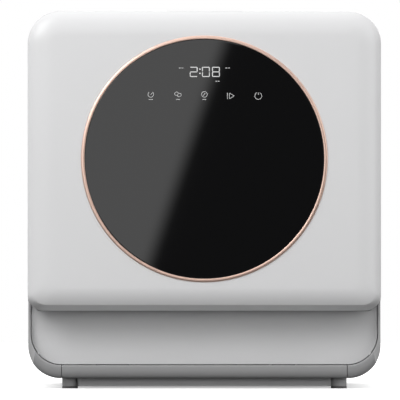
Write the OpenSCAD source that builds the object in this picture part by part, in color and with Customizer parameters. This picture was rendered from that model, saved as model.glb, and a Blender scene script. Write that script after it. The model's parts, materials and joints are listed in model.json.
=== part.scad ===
// Countertop dishwasher with a full-front drop-down door.
// Millimetres. +Z up, the door faces -Y, +X is the viewer's right.
// The origin is on the table, under the middle of the machine.

/* [Machine] */
// Width over the side walls
body_w = 420; // [400:1:440]
// Depth from the glass to the water connections
body_d = 435; // [425:1:460]
// Height from the table to the top
body_h = 449; // [440:1:470]
// Outer corner radius seen from the front
corner_r = 39; // [36:1:40]
// Wall of the outer casing
casing_wall = 3; // [2:0.5:3]

/* [Door] */
// Height of the door's lower edge above the table
door_low_z = 92.5; // [90:0.5:94]
// Thickness of the closed door
door_t = 46; // [42:1:48]
// Width of the pillow rounding round the door's face
pillow_w = 30; // [20:1:34]
// Depth of the pillow rounding
pillow_d = 14; // [8:1:16]
// Corner radius at the door's lower corners
door_low_r = 19; // [14:1:22]
// Wall of the door's outer shell
door_wall = 2.5; // [2:0.25:3]

/* [Dial] */
// Outer radius of the metal trim ring
ring_r = 146.5; // [120:0.5:147]
// Width of the trim ring
ring_w = 4.2; // [3:0.2:6]
// Height of the dial's centre above the table
dial_z = 273; // [265:1:280]

/* [Wash space] */
// Half the inner width of the tub
tub_half_w = 178; // [170:1:178]
// Inner floor level of the tub
tub_floor_z = 112; // [112:1:114]
// Inner ceiling level of the tub
tub_top_z = 434; // [425:1:434]
// Radius of the lower spray arm
low_arm_r = 138; // [110:1:140]
// Radius of the upper spray arm
top_arm_r = 130; // [100:1:135]
// Thickness of the basket wires, as a radius
wire_r = 1.7; // [1.4:0.1:1.8]

/* [Hidden] */
$fn = 48;

// Overlap that joins pieces of one solid
join = 0.4;
// Points in a rounded corner
corner_steps = 8;

// Outer faces
y_front = -body_d / 2;
y_rear = body_d / 2;
half_w = body_w / 2;
under_z = 12.5;
casing_rear_y = y_rear - 12;
face_y = y_front + 1.5;
door_back_y = face_y + door_t;
casing_front_y = door_back_y + 2;

// Hinge line of the door, along X
hinge_y = door_back_y - 2;
hinge_z = door_low_z + 8.5;

// Concave panel under the door and the nose below it
scoop_y = door_back_y + 12;
scoop_z = 80;
nose_top_z = 28;
nose_d = 7.75;
nose_rim = 1.2;
nose_fall = nose_top_z - nose_rim - under_z;
nose_y = y_front + 1.5 + nose_d;
scoop_edge_y = nose_y;
seam_x = half_w - corner_r - 1;
inset_r = corner_r - 2;

// Tub
tub_wall = 2;
tub_front_y = casing_front_y + 2;
tub_rear_y = 148;
flange_y = casing_front_y;
flange_t = 3;
flange_low_z = hinge_z + 4.5;
rail_top_z = tub_floor_z + 15.5;
arm_y = -10;

// Places of the door's hinge, outermost values across the machine
hinge_x0 = 184.6;
hinge_x1 = 196.4;
pin_r = 4;
mouth_half = 9;
lock_z0 = tub_top_z + tub_wall + 1.5;
lock_z1 = tub_top_z + tub_wall + 8.6;

// Filling hole and its lid
fill_x = 110;
fill_half_w = 31;
fill_y0 = 154;
fill_hinge_y = 196;
fill_hinge_z = body_h - 4;
fill_bore_y = 172;
fill_bore_r = 14;

// Feet
foot_x = 160;
foot_y = 178;
foot_pad_h = 2.5;

// Connections on the rear
inlet_x = 100;
inlet_z = 62;
inlet_r = 13.2;
inlet_hose_y = 178;
outlet_x = 155;
outlet_z = 42;
outlet_r = 9;
gland_x = -150;
gland_z = 45;
gland_r = 4;
rear_sheet = 2.5;
rear_flange_y = 5;
screw_places = [for (x = [-150, 0, 150], z = [22, 438]) [x, z], [-199, 230], [199, 230]];
screw_r = 1.6;
screw_reach = 7;

// Pumps, filter, heater and hoses under the tub
filter_x = 0;
filter_y = -75;
pump_z = 62;
wash_pump_x = -110;
wash_pump_y = -60;
drain_pump_x = 95;
drain_pump_y = -72;
heater_x0 = -142;
heater_x1 = -38;
heater_hose_x = -128;
tank_hose_x = 20;
tank_hose_y = 165;
sump_spigot_y = -24;
board_x = [-160, -80];
board_y = [40, 150];
board_z = 32;
float_x = 60;
float_y = 60;

// Drying fan behind the tub
fan_x = -148;
fan_z = 350;
fan_y = [177, casing_rear_y - 2.5];

// Door face: depth and height of the turn above the undercut
crease_z = door_low_z + 7;
low_turn_r = 30;
low_turn_depth = 10.5;
undercut_depth = 26;
bezel_r = ring_r - ring_w;
bezel_sleeve = 2.3;

// Dispenser on the inside of the door
disp_x = [-90, 60];
disp_z = [190, 270];
disp_y = door_back_y + 7;
cap_x = 42;
cap_z = 230;

// Basket
rack_half = 158.4;
rack_front = -146;
rack_back = 130;
rack_step_x = rack_half / 6;
rack_out = 1.6;
rack_step_y = (rack_back - rack_front) / 10;
rack_floor_z = rail_top_z + 18;
rack_rim_z = rack_floor_z + 95;
cross_z = rack_floor_z - 2.6;
roller_r = 9;
roller_z = rail_top_z + roller_r + 0.1;
roller_y = [-105, 95];
fold_x = 30;
fold_z = rack_floor_z + 6.5;

// Returns the points of an arc about (cx, cz)
function arc(cx, cz, r, from, to, n = corner_steps) =
    [for (i = [0:n]) let (a = from + (to - from) * i / n) [cx + r * cos(a), cz + r * sin(a)]];

// Returns the points of a quarter of an ellipse about (cx, cz)
function oval_arc(cx, cz, rx, rz, from, to, n) =
    [for (i = [0:n]) let (a = from + (to - from) * i / n) [cx + rx * cos(a), cz + rz * sin(a)]];

// Returns a rectangle's outline with its own radius at the top and at the bottom corners
function rounded(half, low, high, r_top, r_low) = concat(
    arc(half - r_low, low + r_low, r_low, -90, 0),
    arc(half - r_top, high - r_top, r_top, 0, 90),
    arc(-half + r_top, high - r_top, r_top, 90, 180),
    arc(-half + r_low, low + r_low, r_low, 180, 270)
);

// Extrudes an X-Z outline between two depths
module along_y(y0, y1) {
    translate([0, y1, 0]) rotate([90, 0, 0]) linear_extrude(height = y1 - y0) children();
}

// Extrudes a Y-Z outline between two places across the machine
module along_x(x0, x1) {
    translate([x0, 0, 0]) rotate([90, 0, 90]) linear_extrude(height = x1 - x0) children();
}

// A box between opposite corners
module block(x, y, z) {
    translate([x[0], y[0], z[0]]) cube([x[1] - x[0], y[1] - y[0], z[1] - z[0]]);
}

module x_rod(x0, x1, y, z, r) {
    translate([x0, y, z]) rotate([0, 90, 0]) cylinder(r = r, h = x1 - x0);
}

module y_rod(y0, y1, x, z, r) {
    translate([x, y0, z]) rotate([-90, 0, 0]) cylinder(r = r, h = y1 - y0);
}

module z_rod(z0, z1, x, y, r) {
    translate([x, y, z0]) cylinder(r = r, h = z1 - z0);
}

// Repeats a piece on both sides of the machine
module both_sides() {
    children();
    mirror([1, 0, 0]) children();
}

// Casing

// Space that the door and its swing need in front of the casing
module swing_space() {
    lip_y = scoop_y - 3;
    lip_rise = 4;
    reach = lip_y - nose_y;
    along_x(-half_w - 5, half_w + 5) polygon(concat(
        [[y_front - 20, body_h + 20], [casing_front_y, body_h + 20], [casing_front_y, hinge_z + 6],
            [lip_y, hinge_z + 2]],
        oval_arc(lip_y - reach, scoop_z, reach, scoop_z - nose_top_z - lip_rise, 0, -90, 14),
        [[y_front - 20, nose_top_z + lip_rise]]
    ));
}

// The recess that the nose runs round
module inset_outline() {
    polygon(rounded(half_w - casing_wall, nose_top_z, body_h - casing_wall,
        corner_r - casing_wall, inset_r));
}

// Front of the nose: its rim is foremost, and it falls back and down in steps of an oval
module nose_block() {
    difference() {
        hull() for (a = [0, 22.5, 45, 67.5, 90])
            along_y(nose_y - nose_d * cos(a), nose_y - nose_d * cos(a) + 0.1)
                let (cut = nose_fall * (1 - sin(a)))
                polygon(rounded(half_w - cut, under_z + cut, 130, 10, corner_r - cut));
        along_y(y_front - 1, nose_y + 1) inset_outline();
    }
}

// Band between the casing's outline and the recess, behind the nose
module lip_band() {
    difference() {
        along_y(nose_y, scoop_y + 2) polygon(rounded(half_w, under_z, door_low_z, 1, corner_r));
        along_y(nose_y - 1, scoop_y + 3) inset_outline();
    }
}

// Flange inside the rear edge that the rear panel is screwed to
module rear_flange() {
    flange_w = 11.5;
    inner = corner_r - casing_wall - flange_w;
    difference() {
        along_y(casing_rear_y - rear_flange_y, casing_rear_y - rear_sheet)
            polygon(rounded(half_w - 1, under_z + 1, body_h - 1, corner_r - 1, corner_r - 1));
        along_y(casing_rear_y - rear_flange_y - 1, casing_rear_y)
            polygon(rounded(half_w - casing_wall - flange_w, under_z + casing_wall + flange_w,
                body_h - casing_wall - flange_w, inner, inner));
    }
}

module screw_holes() {
    for (p = screw_places) y_rod(casing_rear_y - screw_reach - 1, casing_rear_y + 5, p[0], p[1], screw_r);
}

module fill_cutout() {
    block([fill_x - fill_half_w - 2.5, fill_x + fill_half_w + 2.5], [fill_y0 - 1.5, fill_hinge_y + 5],
        [body_h - 6, body_h + 5]);
}

module outer_casing() {
    color("gainsboro") difference() {
        union() {
            difference() {
                along_y(nose_y, casing_rear_y)
                    polygon(rounded(half_w, under_z, body_h, corner_r, corner_r));
                along_y(nose_y - 1, casing_rear_y + 1)
                    polygon(rounded(half_w - casing_wall, under_z + casing_wall, body_h - casing_wall,
                        corner_r - casing_wall, corner_r - casing_wall));
            }
            difference() {
                nose_block();
                block([-half_w, half_w], [y_front - 5, nose_y + 1], [90, 140]);
            }
            lip_band();
            rear_flange();
        }
        swing_space();
        block([-seam_x, seam_x], [y_front - 5, casing_rear_y - rear_flange_y],
            [under_z - 5, nose_top_z + 5]);
        fill_cutout();
        screw_holes();
    }
}

// Middle part of the nose, between the two seams
module base_bar() {
    gap = 0.25;
    bar_depth = 6;
    color("gainsboro") along_x(-seam_x + gap, seam_x - gap) polygon(concat(
        [[nose_y + bar_depth, under_z + 2.8], [nose_y + bar_depth, nose_top_z - 2.2],
            [nose_y, nose_top_z - 2.2], [nose_y, nose_top_z], [nose_y - nose_d, nose_top_z]],
        oval_arc(nose_y, nose_top_z - nose_rim, nose_d, nose_fall, 180, 270, 12),
        [[nose_y + 4, under_z], [nose_y + 4, under_z + 2.8]]
    ));
}

// Concave panel that gives the opening door its room
module toe_panel() {
    sheet = 2;
    reach = scoop_y - scoop_edge_y;
    drop = scoop_z - nose_top_z;
    wide = half_w - casing_wall;
    color("silver") difference() {
        intersection() {
            along_x(-wide, wide) polygon(concat(
                [[scoop_y, tub_floor_z - tub_wall]],
                oval_arc(scoop_edge_y, scoop_z, reach, drop, 0, -90, 16),
                [[scoop_edge_y, nose_top_z - sheet + 0.2]],
                oval_arc(scoop_edge_y, scoop_z, reach + sheet, drop + sheet - 0.2, -86, 0, 16),
                [[scoop_y + sheet, tub_floor_z - tub_wall]]
            ));
            union() {
                along_y(y_front, scoop_y + 10) polygon(rounded(wide, nose_top_z, 200, 20, inset_r));
                block([-seam_x + 0.25, seam_x - 0.25], [y_front, scoop_y],
                    [nose_top_z - sheet, nose_top_z + 1]);
            }
        }
        both_sides() block([hinge_x0 - 2, hinge_x1 + 2], [scoop_y - 5, scoop_y + 5],
            [hinge_z - 9, tub_floor_z]);
    }
}

// Bottom tray with the plinth between the feet and a guide post for the float
module base_tray() {
    edge_x = seam_x - 0.3;
    plinth_x = 147;
    plinth_y = 192;
    wall = 2.5;
    plate_top = under_z + 2.8;
    rim_y = [scoop_edge_y + 8, casing_rear_y - screw_reach - 0.5];
    color("lightgray") difference() {
        union() {
            block([-edge_x, edge_x], [nose_y + 4.2, rim_y[1]], [under_z, plate_top]);
            block([-plinth_x, plinth_x], [-plinth_y, plinth_y], [foot_pad_h, under_z + join]);
            difference() {
                block([-edge_x, edge_x], rim_y, [plate_top - join, plate_top + 9]);
                block([-edge_x + wall, edge_x - wall], [rim_y[0] + wall, rim_y[1] - wall],
                    [plate_top - 1, plate_top + 10]);
            }
            for (x = [board_x[0] + 8, board_x[1] - 8], y = [board_y[0] + 8, board_y[1] - 8])
                z_rod(plate_top - join, board_z, x, y, 3.5);
            z_rod(plate_top - join, plate_top + 24, float_x, float_y, 3);
            z_rod(plate_top + 23, plate_top + 26, float_x, float_y, 6);
        }
        block([-plinth_x + wall, plinth_x - wall], [-plinth_y + wall, plinth_y - wall],
            [-1, under_z]);
    }
}

// One foot with the round post that carries the load
module foot(x, y) {
    top_w = 20;
    color("gray") union() {
        block([x - top_w / 2, x + top_w / 2], [y - 14, y + 14], [foot_pad_h + 4, under_z]);
        z_rod(foot_pad_h, foot_pad_h + 4 + join, x, y, 8.5);
    }
}

module feet() {
    for (x = [-foot_x, foot_x], y = [-foot_y, foot_y]) foot(x, y);
}

// Rubber pads under the four feet
module foot_pads() {
    color("dimgray") for (x = [-foot_x, foot_x], y = [-foot_y, foot_y]) difference() {
        z_rod(0, foot_pad_h, x, y, 9.5);
        for (dx = [-4, 0, 4]) block([x + dx - 0.6, x + dx + 0.6], [y - 12, y - 5], [-1, 1.5]);
    }
}

module rear_panel() {
    slot_w = 4;
    wide = half_w - casing_wall;
    color("silver") difference() {
        along_y(casing_rear_y - rear_sheet, casing_rear_y)
            polygon(rounded(wide, under_z + casing_wall, body_h - casing_wall,
                corner_r - casing_wall + 1, corner_r - casing_wall + 1));
        y_rod(casing_rear_y - 5, casing_rear_y + 5, inlet_x, inlet_z, inlet_r + 1.3);
        y_rod(casing_rear_y - 5, casing_rear_y + 5, outlet_x, outlet_z, outlet_r + 1.5);
        y_rod(casing_rear_y - 5, casing_rear_y + 5, gland_x, gland_z, gland_r + 2.6);
        for (i = [-3:3]) block([fan_x + i * 8 - slot_w / 2, fan_x + i * 8 + slot_w / 2],
            [casing_rear_y - 5, casing_rear_y + 5], [fan_z - 22, fan_z + 22]);
        for (i = [0:7]) block([-60 + i * 10, -56 + i * 10], [casing_rear_y - 5, casing_rear_y + 5],
            [40, 75]);
        screw_holes();
    }
}

// Screws that hold the rear panel
module rear_screws() {
    color("silver") for (p = screw_places) difference() {
        union() {
            y_rod(casing_rear_y, casing_rear_y + 1.8, p[0], p[1], 3.6);
            y_rod(casing_rear_y - screw_reach, casing_rear_y + join, p[0], p[1], screw_r);
        }
        for (turn = [0, 90]) translate([p[0], casing_rear_y + 2, p[1]]) rotate([0, turn, 0])
            cube([4, 2, 0.8], center = true);
    }
}

// Tub and water

module tub() {
    wide = tub_half_w + tub_wall;
    flange_x = half_w - casing_wall;
    color("lightsteelblue") difference() {
        union() {
            along_y(tub_front_y - join, tub_rear_y + tub_wall)
                polygon(rounded(wide, tub_floor_z - tub_wall, tub_top_z + tub_wall, 14, 14));
            difference() {
                along_y(flange_y, flange_y + flange_t) polygon(rounded(flange_x, flange_low_z,
                    body_h - casing_wall, corner_r - casing_wall + 1, 6));
                both_sides() block([hinge_x0 - 2, hinge_x1 + 2], [flange_y - 1, flange_y + 5],
                    [flange_low_z - 1, hinge_z + 10]);
            }
        }
        along_y(flange_y - 1, tub_rear_y) polygon(rounded(tub_half_w, tub_floor_z, tub_top_z, 12, 12));
        z_rod(tub_floor_z - 5, tub_floor_z + 5, filter_x, filter_y, 45);
        z_rod(tub_floor_z - 5, tub_floor_z + 5, 0, arm_y, 9.2);
        block([-mouth_half, mouth_half], [flange_y - 1, flange_y + 5], [lock_z0, lock_z1]);
        y_rod(tub_rear_y - 5, tub_rear_y + 5, fan_x, fan_z, 12);
    }
}

// Soft seal between the tub's mouth and the door
module door_gasket() {
    color("dimgray") along_y(door_back_y + 0.3, flange_y) difference() {
        polygon(rounded(tub_half_w + 6, tub_floor_z - 6, tub_top_z + 6, 17, 17));
        polygon(rounded(tub_half_w + 1, tub_floor_z - 1, tub_top_z + 1, 13, 13));
        translate([-mouth_half, lock_z0]) square([2 * mouth_half, 10]);
    }
}

// Channel on the tub wall that the basket's rollers run in
module rack_rail() {
    rail_y = [-150, 140];
    color("silver") union() {
        block([tub_half_w - 10, tub_half_w], rail_y, [rail_top_z - 3.5, rail_top_z]);
        block([tub_half_w - 2, tub_half_w], rail_y, [rail_top_z - join, rail_top_z + 21]);
        block([tub_half_w - 8, tub_half_w], rail_y, [rail_top_z + 19, rail_top_z + 21]);
    }
}

module rack_rails() both_sides() rack_rail();

// Lens of the lamp in the tub's ceiling
module tub_lamp() {
    color("white") block([-120, -84], [-110, -94], [tub_top_z - 3, tub_top_z]);
}

// Tank behind the tub, with the neck that the filling lid covers
module water_tank() {
    wall = 2;
    x = [-100, 178];
    y = [tub_rear_y + tub_wall + 0.5, casing_rear_y - 3.5];
    z = [118, 424];
    neck_top = body_h - 8;
    color("aliceblue") difference() {
        union() {
            block(x, y, z);
            block([fill_x - fill_half_w, fill_x + fill_half_w], [fill_y0 + 2, fill_hinge_y - 6],
                [z[1] - join, neck_top]);
            for (side = [-1, 1]) translate([fill_x + side * (fill_half_w + 0.4), 0, 0])
                block([-1.2, 1.2], [fill_hinge_y - 10, fill_hinge_y + 2.6], [z[1] - join, body_h - 1.4]);
        }
        block([x[0] + wall, x[1] - wall], [y[0] + wall, y[1] - wall], [z[0] + wall, z[1] - wall]);
        z_rod(z[1] - 10, neck_top + 5, fill_x, fill_bore_y, fill_bore_r);
        x_rod(fill_x - fill_half_w - 5, fill_x + fill_half_w + 5, fill_hinge_y, fill_hinge_z, 1.65);
        z_rod(z[0] - 5, z[0] + 5, tank_hose_x, tank_hose_y, 4);
        z_rod(z[0] - 5, z[0] + 5, inlet_x, inlet_hose_y, 4);
    }
}

// Hinged lid over the filling hole, flush with the top
module fill_lid() {
    in_x = fill_half_w - 1.2;
    color("gainsboro") difference() {
        union() {
            block([fill_x - in_x, fill_x + in_x], [fill_y0, fill_hinge_y], [body_h - 7.8, body_h]);
            x_rod(fill_x - in_x, fill_x + in_x, fill_hinge_y, fill_hinge_z, body_h - fill_hinge_z);
            x_rod(fill_x - fill_half_w - 1.5, fill_x + fill_half_w + 1.5, fill_hinge_y, fill_hinge_z, 1.6);
        }
        block([fill_x - 14, fill_x + 14], [fill_y0 - 1, fill_y0 + 5], [body_h - 9, body_h - 2.5]);
    }
}

// Valve with the threaded connection for the supply hose
module inlet_valve() {
    color("white") difference() {
        union() {
            block([inlet_x - 17, inlet_x + 17], [168, casing_rear_y - 2.5], [inlet_z - 20, inlet_z + 17]);
            y_rod(casing_rear_y - 3, y_rear, inlet_x, inlet_z, inlet_r);
            z_rod(inlet_z + 16, inlet_z + 22, inlet_x, inlet_hose_y, 6);
            block([inlet_x - 14, inlet_x + 14], [176, 192], [under_z + 2.8, inlet_z - 19]);
        }
        y_rod(casing_rear_y - 20, y_rear + 1, inlet_x, inlet_z, 8);
        z_rod(inlet_z + 2, inlet_z + 25, inlet_x, inlet_hose_y, 4);
    }
}

// Hoses from the inlet valve up to the tank, and from the tank down and forward to the sump
module tank_hoses() {
    r = 6;
    bend_r = 14;
    z = 92;
    tank_low_z = 118;
    union() {
        difference() {
            z_rod(inlet_z + 22, tank_low_z, inlet_x, inlet_hose_y, r);
            z_rod(inlet_z + 21, tank_low_z + 1, inlet_x, inlet_hose_y, r - 2);
        }
        union() {
            z_rod(z + bend_r, tank_low_z, tank_hose_x, tank_hose_y, r);
            translate([tank_hose_x, tank_hose_y - bend_r, z + bend_r]) rotate([0, 90, 0])
                rotate_extrude(angle = 90) translate([bend_r, 0]) circle(r = r);
            y_rod(sump_spigot_y, tank_hose_y - bend_r, tank_hose_x, z, r);
        }
    }
}

module drain_outlet() {
    color("gray") difference() {
        union() {
            y_rod(casing_rear_y - 8, y_rear, outlet_x, outlet_z, outlet_r);
            y_rod(casing_rear_y - 8, casing_rear_y - 2.5, outlet_x, outlet_z, outlet_r + 5);
        }
        y_rod(casing_rear_y - 9, y_rear + 1, outlet_x, outlet_z, 6.5);
    }
}

// Hose from the drain pump to the rear connection
module drain_hose() {
    r = 9;
    bend_r = 16;
    union() {
        x_rod(drain_pump_x + 30, outlet_x - bend_r, drain_pump_y, outlet_z, r);
        translate([outlet_x - bend_r, drain_pump_y + bend_r, outlet_z]) rotate([0, 0, -90])
            rotate_extrude(angle = 90) translate([bend_r, 0]) circle(r = r);
        y_rod(drain_pump_y + bend_r, casing_rear_y - 8, outlet_x, outlet_z, r);
    }
}

// Short hoses from the sump to the wash pump and from the pump to the heater
module pump_hoses() {
    union() {
        difference() {
            x_rod(-66, -57, wash_pump_y, pump_z, 9.6);
            x_rod(-67, -56, wash_pump_y, pump_z, 6);
        }
        difference() {
            y_rod(wash_pump_y + 22, arm_y - 22, heater_hose_x, pump_z, 7.6);
            y_rod(wash_pump_y + 21, arm_y - 21, heater_hose_x, pump_z, 4);
        }
    }
}

module water_hoses() {
    color("ghostwhite") {
        tank_hoses();
        drain_hose();
        pump_hoses();
    }
}

// Clamp gland that the supply lead would come out of
module cord_gland() {
    color("dimgray") difference() {
        union() {
            y_rod(casing_rear_y - 8, y_rear - 3, gland_x, gland_z, gland_r + 2.5);
            y_rod(casing_rear_y, casing_rear_y + 3, gland_x, gland_z, gland_r + 5);
            y_rod(casing_rear_y - 6, casing_rear_y - 2.5, gland_x, gland_z, gland_r + 5);
        }
        y_rod(casing_rear_y - 9, y_rear, gland_x, gland_z, gland_r);
    }
}

// Cup under the tub with the connections to the pumps and the tank
module sump() {
    top_z = tub_floor_z - tub_wall;
    color("gray") difference() {
        union() {
            z_rod(56, top_z, filter_x, filter_y, 45);
            z_rod(top_z - 3, top_z, filter_x, filter_y, 52);
            x_rod(-57, -38, wash_pump_y, pump_z, 9);
            x_rod(38, drain_pump_x - 30, drain_pump_y, pump_z, 9);
            y_rod(filter_y + 34, sump_spigot_y, tank_hose_x, 92, 6);
            block([-12, 12], [filter_y - 12, filter_y + 12], [under_z + 2.8, 57]);
        }
        z_rod(59, top_z + 1, filter_x, filter_y, 42);
        x_rod(-58, -30, wash_pump_y, pump_z, 6);
        x_rod(30, drain_pump_x - 29, drain_pump_y, pump_z, 6);
        y_rod(filter_y + 30, sump_spigot_y + 1, tank_hose_x, 92, 4);
    }
}

// Perforated plate in the tub's floor, round the filter cup
module coarse_filter() {
    color("silver") difference() {
        z_rod(tub_floor_z, tub_floor_z + 1.5, filter_x, filter_y, 53);
        z_rod(tub_floor_z - 1, tub_floor_z + 3, filter_x, filter_y, 37);
        for (a = [0:20:340]) translate([filter_x, filter_y, tub_floor_z - 1]) rotate([0, 0, a])
            translate([41.2, 0, 0]) cylinder(r = 2.2, h = 4);
    }
}

// Removable filter cup with its twist grip
module filter_cup() {
    rim_z = tub_floor_z + 1.5;
    color("slategray") difference() {
        union() {
            z_rod(64, rim_z + join, filter_x, filter_y, 35.5);
            z_rod(rim_z, rim_z + 1.6, filter_x, filter_y, 38.6);
            block([filter_x - 22, filter_x + 22], [filter_y - 2.5, filter_y + 2.5],
                [rim_z + 1, rim_z + 4.6]);
        }
        difference() {
            z_rod(66, rim_z + 3, filter_x, filter_y, 33.5);
            block([filter_x - 40, filter_x + 40], [filter_y - 5, filter_y + 5], [rim_z, rim_z + 5]);
        }
        for (a = [0:45:135], z = [72, 90]) translate([filter_x, filter_y, z]) rotate([0, 0, a])
            block([-40, 40], [-4, 4], [0, 12]);
    }
}

// Post that feeds the lower spray arm
module feed_manifold() {
    color("gray") difference() {
        union() {
            z_rod(pump_z - 12, tub_floor_z + 7.2, 0, arm_y, 9);
            z_rod(tub_floor_z + 6, tub_floor_z + 19, 0, arm_y, 6);
            x_rod(heater_x1 + 8, -4, arm_y, pump_z, 7);
            z_rod(tub_floor_z, tub_floor_z + 2, 0, arm_y, 11.5);
        }
        z_rod(pump_z - 6, tub_floor_z + 20, 0, arm_y, 3.4);
        x_rod(heater_x1 + 7, -1, arm_y, pump_z, 4);
    }
}

// Outline of a two-bladed spray arm with rounded tips
module arm_outline(reach, hub_r, tip_r) {
    polygon(concat(
        arc(reach - tip_r, 0, tip_r, -80, 80),
        arc(0, 0, hub_r, 60, 120, 6),
        arc(-reach + tip_r, 0, tip_r, 100, 260),
        arc(0, 0, hub_r, 240, 300, 6)
    ));
}

// Spray arm about its own centre, from z = 0 up
module spray_arm(reach, bore_r) {
    t = 8;
    difference() {
        union() {
            linear_extrude(height = t) arm_outline(reach, 22, 12);
            cylinder(r = 13, h = t);
        }
        translate([0, 0, -1]) cylinder(r = bore_r, h = t + 2);
        for (side = [-1, 1], i = [0:3])
            translate([side * (34 + i * 28), side * (i % 2 == 0 ? 3 : -3), t - 3]) cylinder(r = 1.8, h = 5);
    }
}

module lower_spray_arm() {
    color("lightgray") translate([0, arm_y, tub_floor_z + 7.5]) rotate([0, 0, 25])
        spray_arm(low_arm_r, 6.06);
}

// Duct up the rear wall and along the ceiling to the upper arm
module upper_feed_duct() {
    r = 6;
    top = tub_top_z;
    color("lightgray") difference() {
        union() {
            block([-9, 9], [tub_rear_y - 9, tub_rear_y], [tub_floor_z, top]);
            block([-11, 11], [arm_y - 11, tub_rear_y - 8], [top - 8, top]);
            z_rod(top - 30, top - 7, 0, arm_y, r);
            z_rod(top - 14, top - 7, 0, arm_y, 9);
        }
        z_rod(top - 31, top - 5, 0, arm_y, 3);
        block([-6, 6], [tub_rear_y - 7, tub_rear_y - 2], [tub_floor_z - 1, top - 3]);
        block([-8, 8], [arm_y - 3, tub_rear_y - 3], [top - 6, top - 2]);
    }
}

module upper_spray_arm() {
    color("lightgray") translate([0, arm_y, tub_top_z - 14.6]) rotate([0, 180, -35])
        spray_arm(top_arm_r, 6.06);
}

// Round nuts that keep the two spray arms on their posts
module arm_nuts() {
    low_z = tub_floor_z + 15.8;
    top_z = tub_top_z - 31;
    color("dimgray") {
        difference() {
            z_rod(low_z, low_z + 4.6, 0, arm_y, 11);
            z_rod(low_z - 1, low_z + 3.2, 0, arm_y, 6);
        }
        difference() {
            z_rod(top_z - 1.5, top_z + 7.8, 0, arm_y, 11);
            z_rod(top_z + 1, top_z + 9, 0, arm_y, 6);
        }
    }
}

// Pumps and other pieces under the tub

module wash_pump() {
    y = [wash_pump_y - 16, wash_pump_y + 14];
    motor_y = -140;
    color("dimgray") difference() {
        union() {
            y_rod(y[0], y[1], wash_pump_x, pump_z, 32);
            y_rod(motor_y, y[0] + 1, wash_pump_x, pump_z, 27);
            y_rod(y[1] - 1, y[1] + 8, heater_hose_x, pump_z, 7);
            x_rod(wash_pump_x + 28, -66, wash_pump_y, pump_z, 9);
            block([wash_pump_x - 20, wash_pump_x + 20], [motor_y + 14, y[1] - 4],
                [under_z + 2.8, pump_z - 20]);
        }
        y_rod(y[0] + 3, y[1] - 3, wash_pump_x, pump_z, 28.5);
        y_rod(y[0] - 18, y[0] + 4, wash_pump_x, pump_z, 3.06);
        y_rod(y[1] - 4, y[1] + 9, heater_hose_x, pump_z, 4);
        x_rod(wash_pump_x + 26, -65, wash_pump_y, pump_z, 6);
    }
}

// Hub with straight vanes on a shaft, along Y
module impeller(x, y0, y1, z, r, shaft_y, vanes) {
    union() {
        y_rod(y0, y1, x, z, r * 0.34);
        y_rod(y0, y0 + 2, x, z, r);
        y_rod(shaft_y, y0 + 1, x, z, 3);
        for (a = [0:360 / vanes:359]) translate([x, y0, z]) rotate([0, a, 0])
            block([0, r - 0.5], [0.5, y1 - y0], [-1, 1]);
    }
}

module wash_impeller() {
    color("lightgray")
        impeller(wash_pump_x, wash_pump_y - 11, wash_pump_y + 8, pump_z, 26, wash_pump_y - 32, 6);
}

// Through-flow heater between the wash pump and the spray arms
module water_heater() {
    color("silver") difference() {
        union() {
            x_rod(heater_x0, heater_x1, arm_y, pump_z, 15);
            x_rod(heater_x1 - 1, heater_x1 + 8, arm_y, pump_z, 7);
            y_rod(arm_y - 22, arm_y - 12, heater_hose_x, pump_z, 7);
            for (x = [heater_x0 + 6, heater_x1 - 16])
                block([x, x + 10], [arm_y - 7, arm_y + 7], [under_z + 2.8, pump_z - 12]);
            for (x = [heater_x0 + 30, heater_x1 - 30]) z_rod(pump_z + 14, pump_z + 22, x, arm_y, 3);
        }
        x_rod(heater_x0 + 2, heater_x1 - 2, arm_y, pump_z, 13);
        x_rod(heater_x1 - 4, heater_x1 + 9, arm_y, pump_z, 4);
        y_rod(arm_y - 23, arm_y - 10, heater_hose_x, pump_z, 4);
    }
}

module drain_pump() {
    y = [drain_pump_y - 12, drain_pump_y + 12];
    motor_y = -12;
    color("dimgray") difference() {
        union() {
            y_rod(y[0], y[1], drain_pump_x, pump_z, 22);
            y_rod(y[1] - 1, motor_y, drain_pump_x, pump_z, 19);
            x_rod(drain_pump_x - 30, drain_pump_x - 18, drain_pump_y, pump_z, 9);
            x_rod(drain_pump_x + 2, drain_pump_x + 30, drain_pump_y, outlet_z, 9);
            block([drain_pump_x - 14, drain_pump_x + 14], [y[0] + 3, motor_y - 6],
                [under_z + 2.8, pump_z - 14]);
        }
        y_rod(y[0] + 2.5, y[1] - 2.5, drain_pump_x, pump_z, 19.5);
        y_rod(y[1] - 4, y[1] + 14, drain_pump_x, pump_z, 3.06);
        x_rod(drain_pump_x - 31, drain_pump_x - 15, drain_pump_y, pump_z, 6);
        x_rod(drain_pump_x + 4, drain_pump_x + 31, drain_pump_y, outlet_z, 6);
    }
}

module drain_impeller() {
    x = drain_pump_x;
    y = drain_pump_y;
    color("lightgray") translate([0, 2 * y, 0]) mirror([0, 1, 0])
        impeller(x, y - 8, y + 7, pump_z, 17.5, y - 24, 4);
}

// Circuit board with the parts that stand on it
module power_board() {
    t = 1.6;
    color("darkgreen") union() {
        block(board_x, board_y, [board_z, board_z + t]);
        block([board_x[0] + 8, board_x[0] + 34], [board_y[0] + 60, board_y[0] + 92],
            [board_z + 1, board_z + 24]);
        block([board_x[1] - 30, board_x[1] - 8], [board_y[0] + 10, board_y[0] + 40],
            [board_z + 1, board_z + 18]);
        for (i = [0:3]) z_rod(board_z + 1, board_z + 20, board_x[0] + 12 + i * 12, board_y[0] + 20, 4.5);
        for (i = [0:2]) block([board_x[1] - 28 + i * 9, board_x[1] - 22 + i * 9],
            [board_y[1] - 14, board_y[1] - 4], [board_z + 1, board_z + 12]);
    }
}

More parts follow.
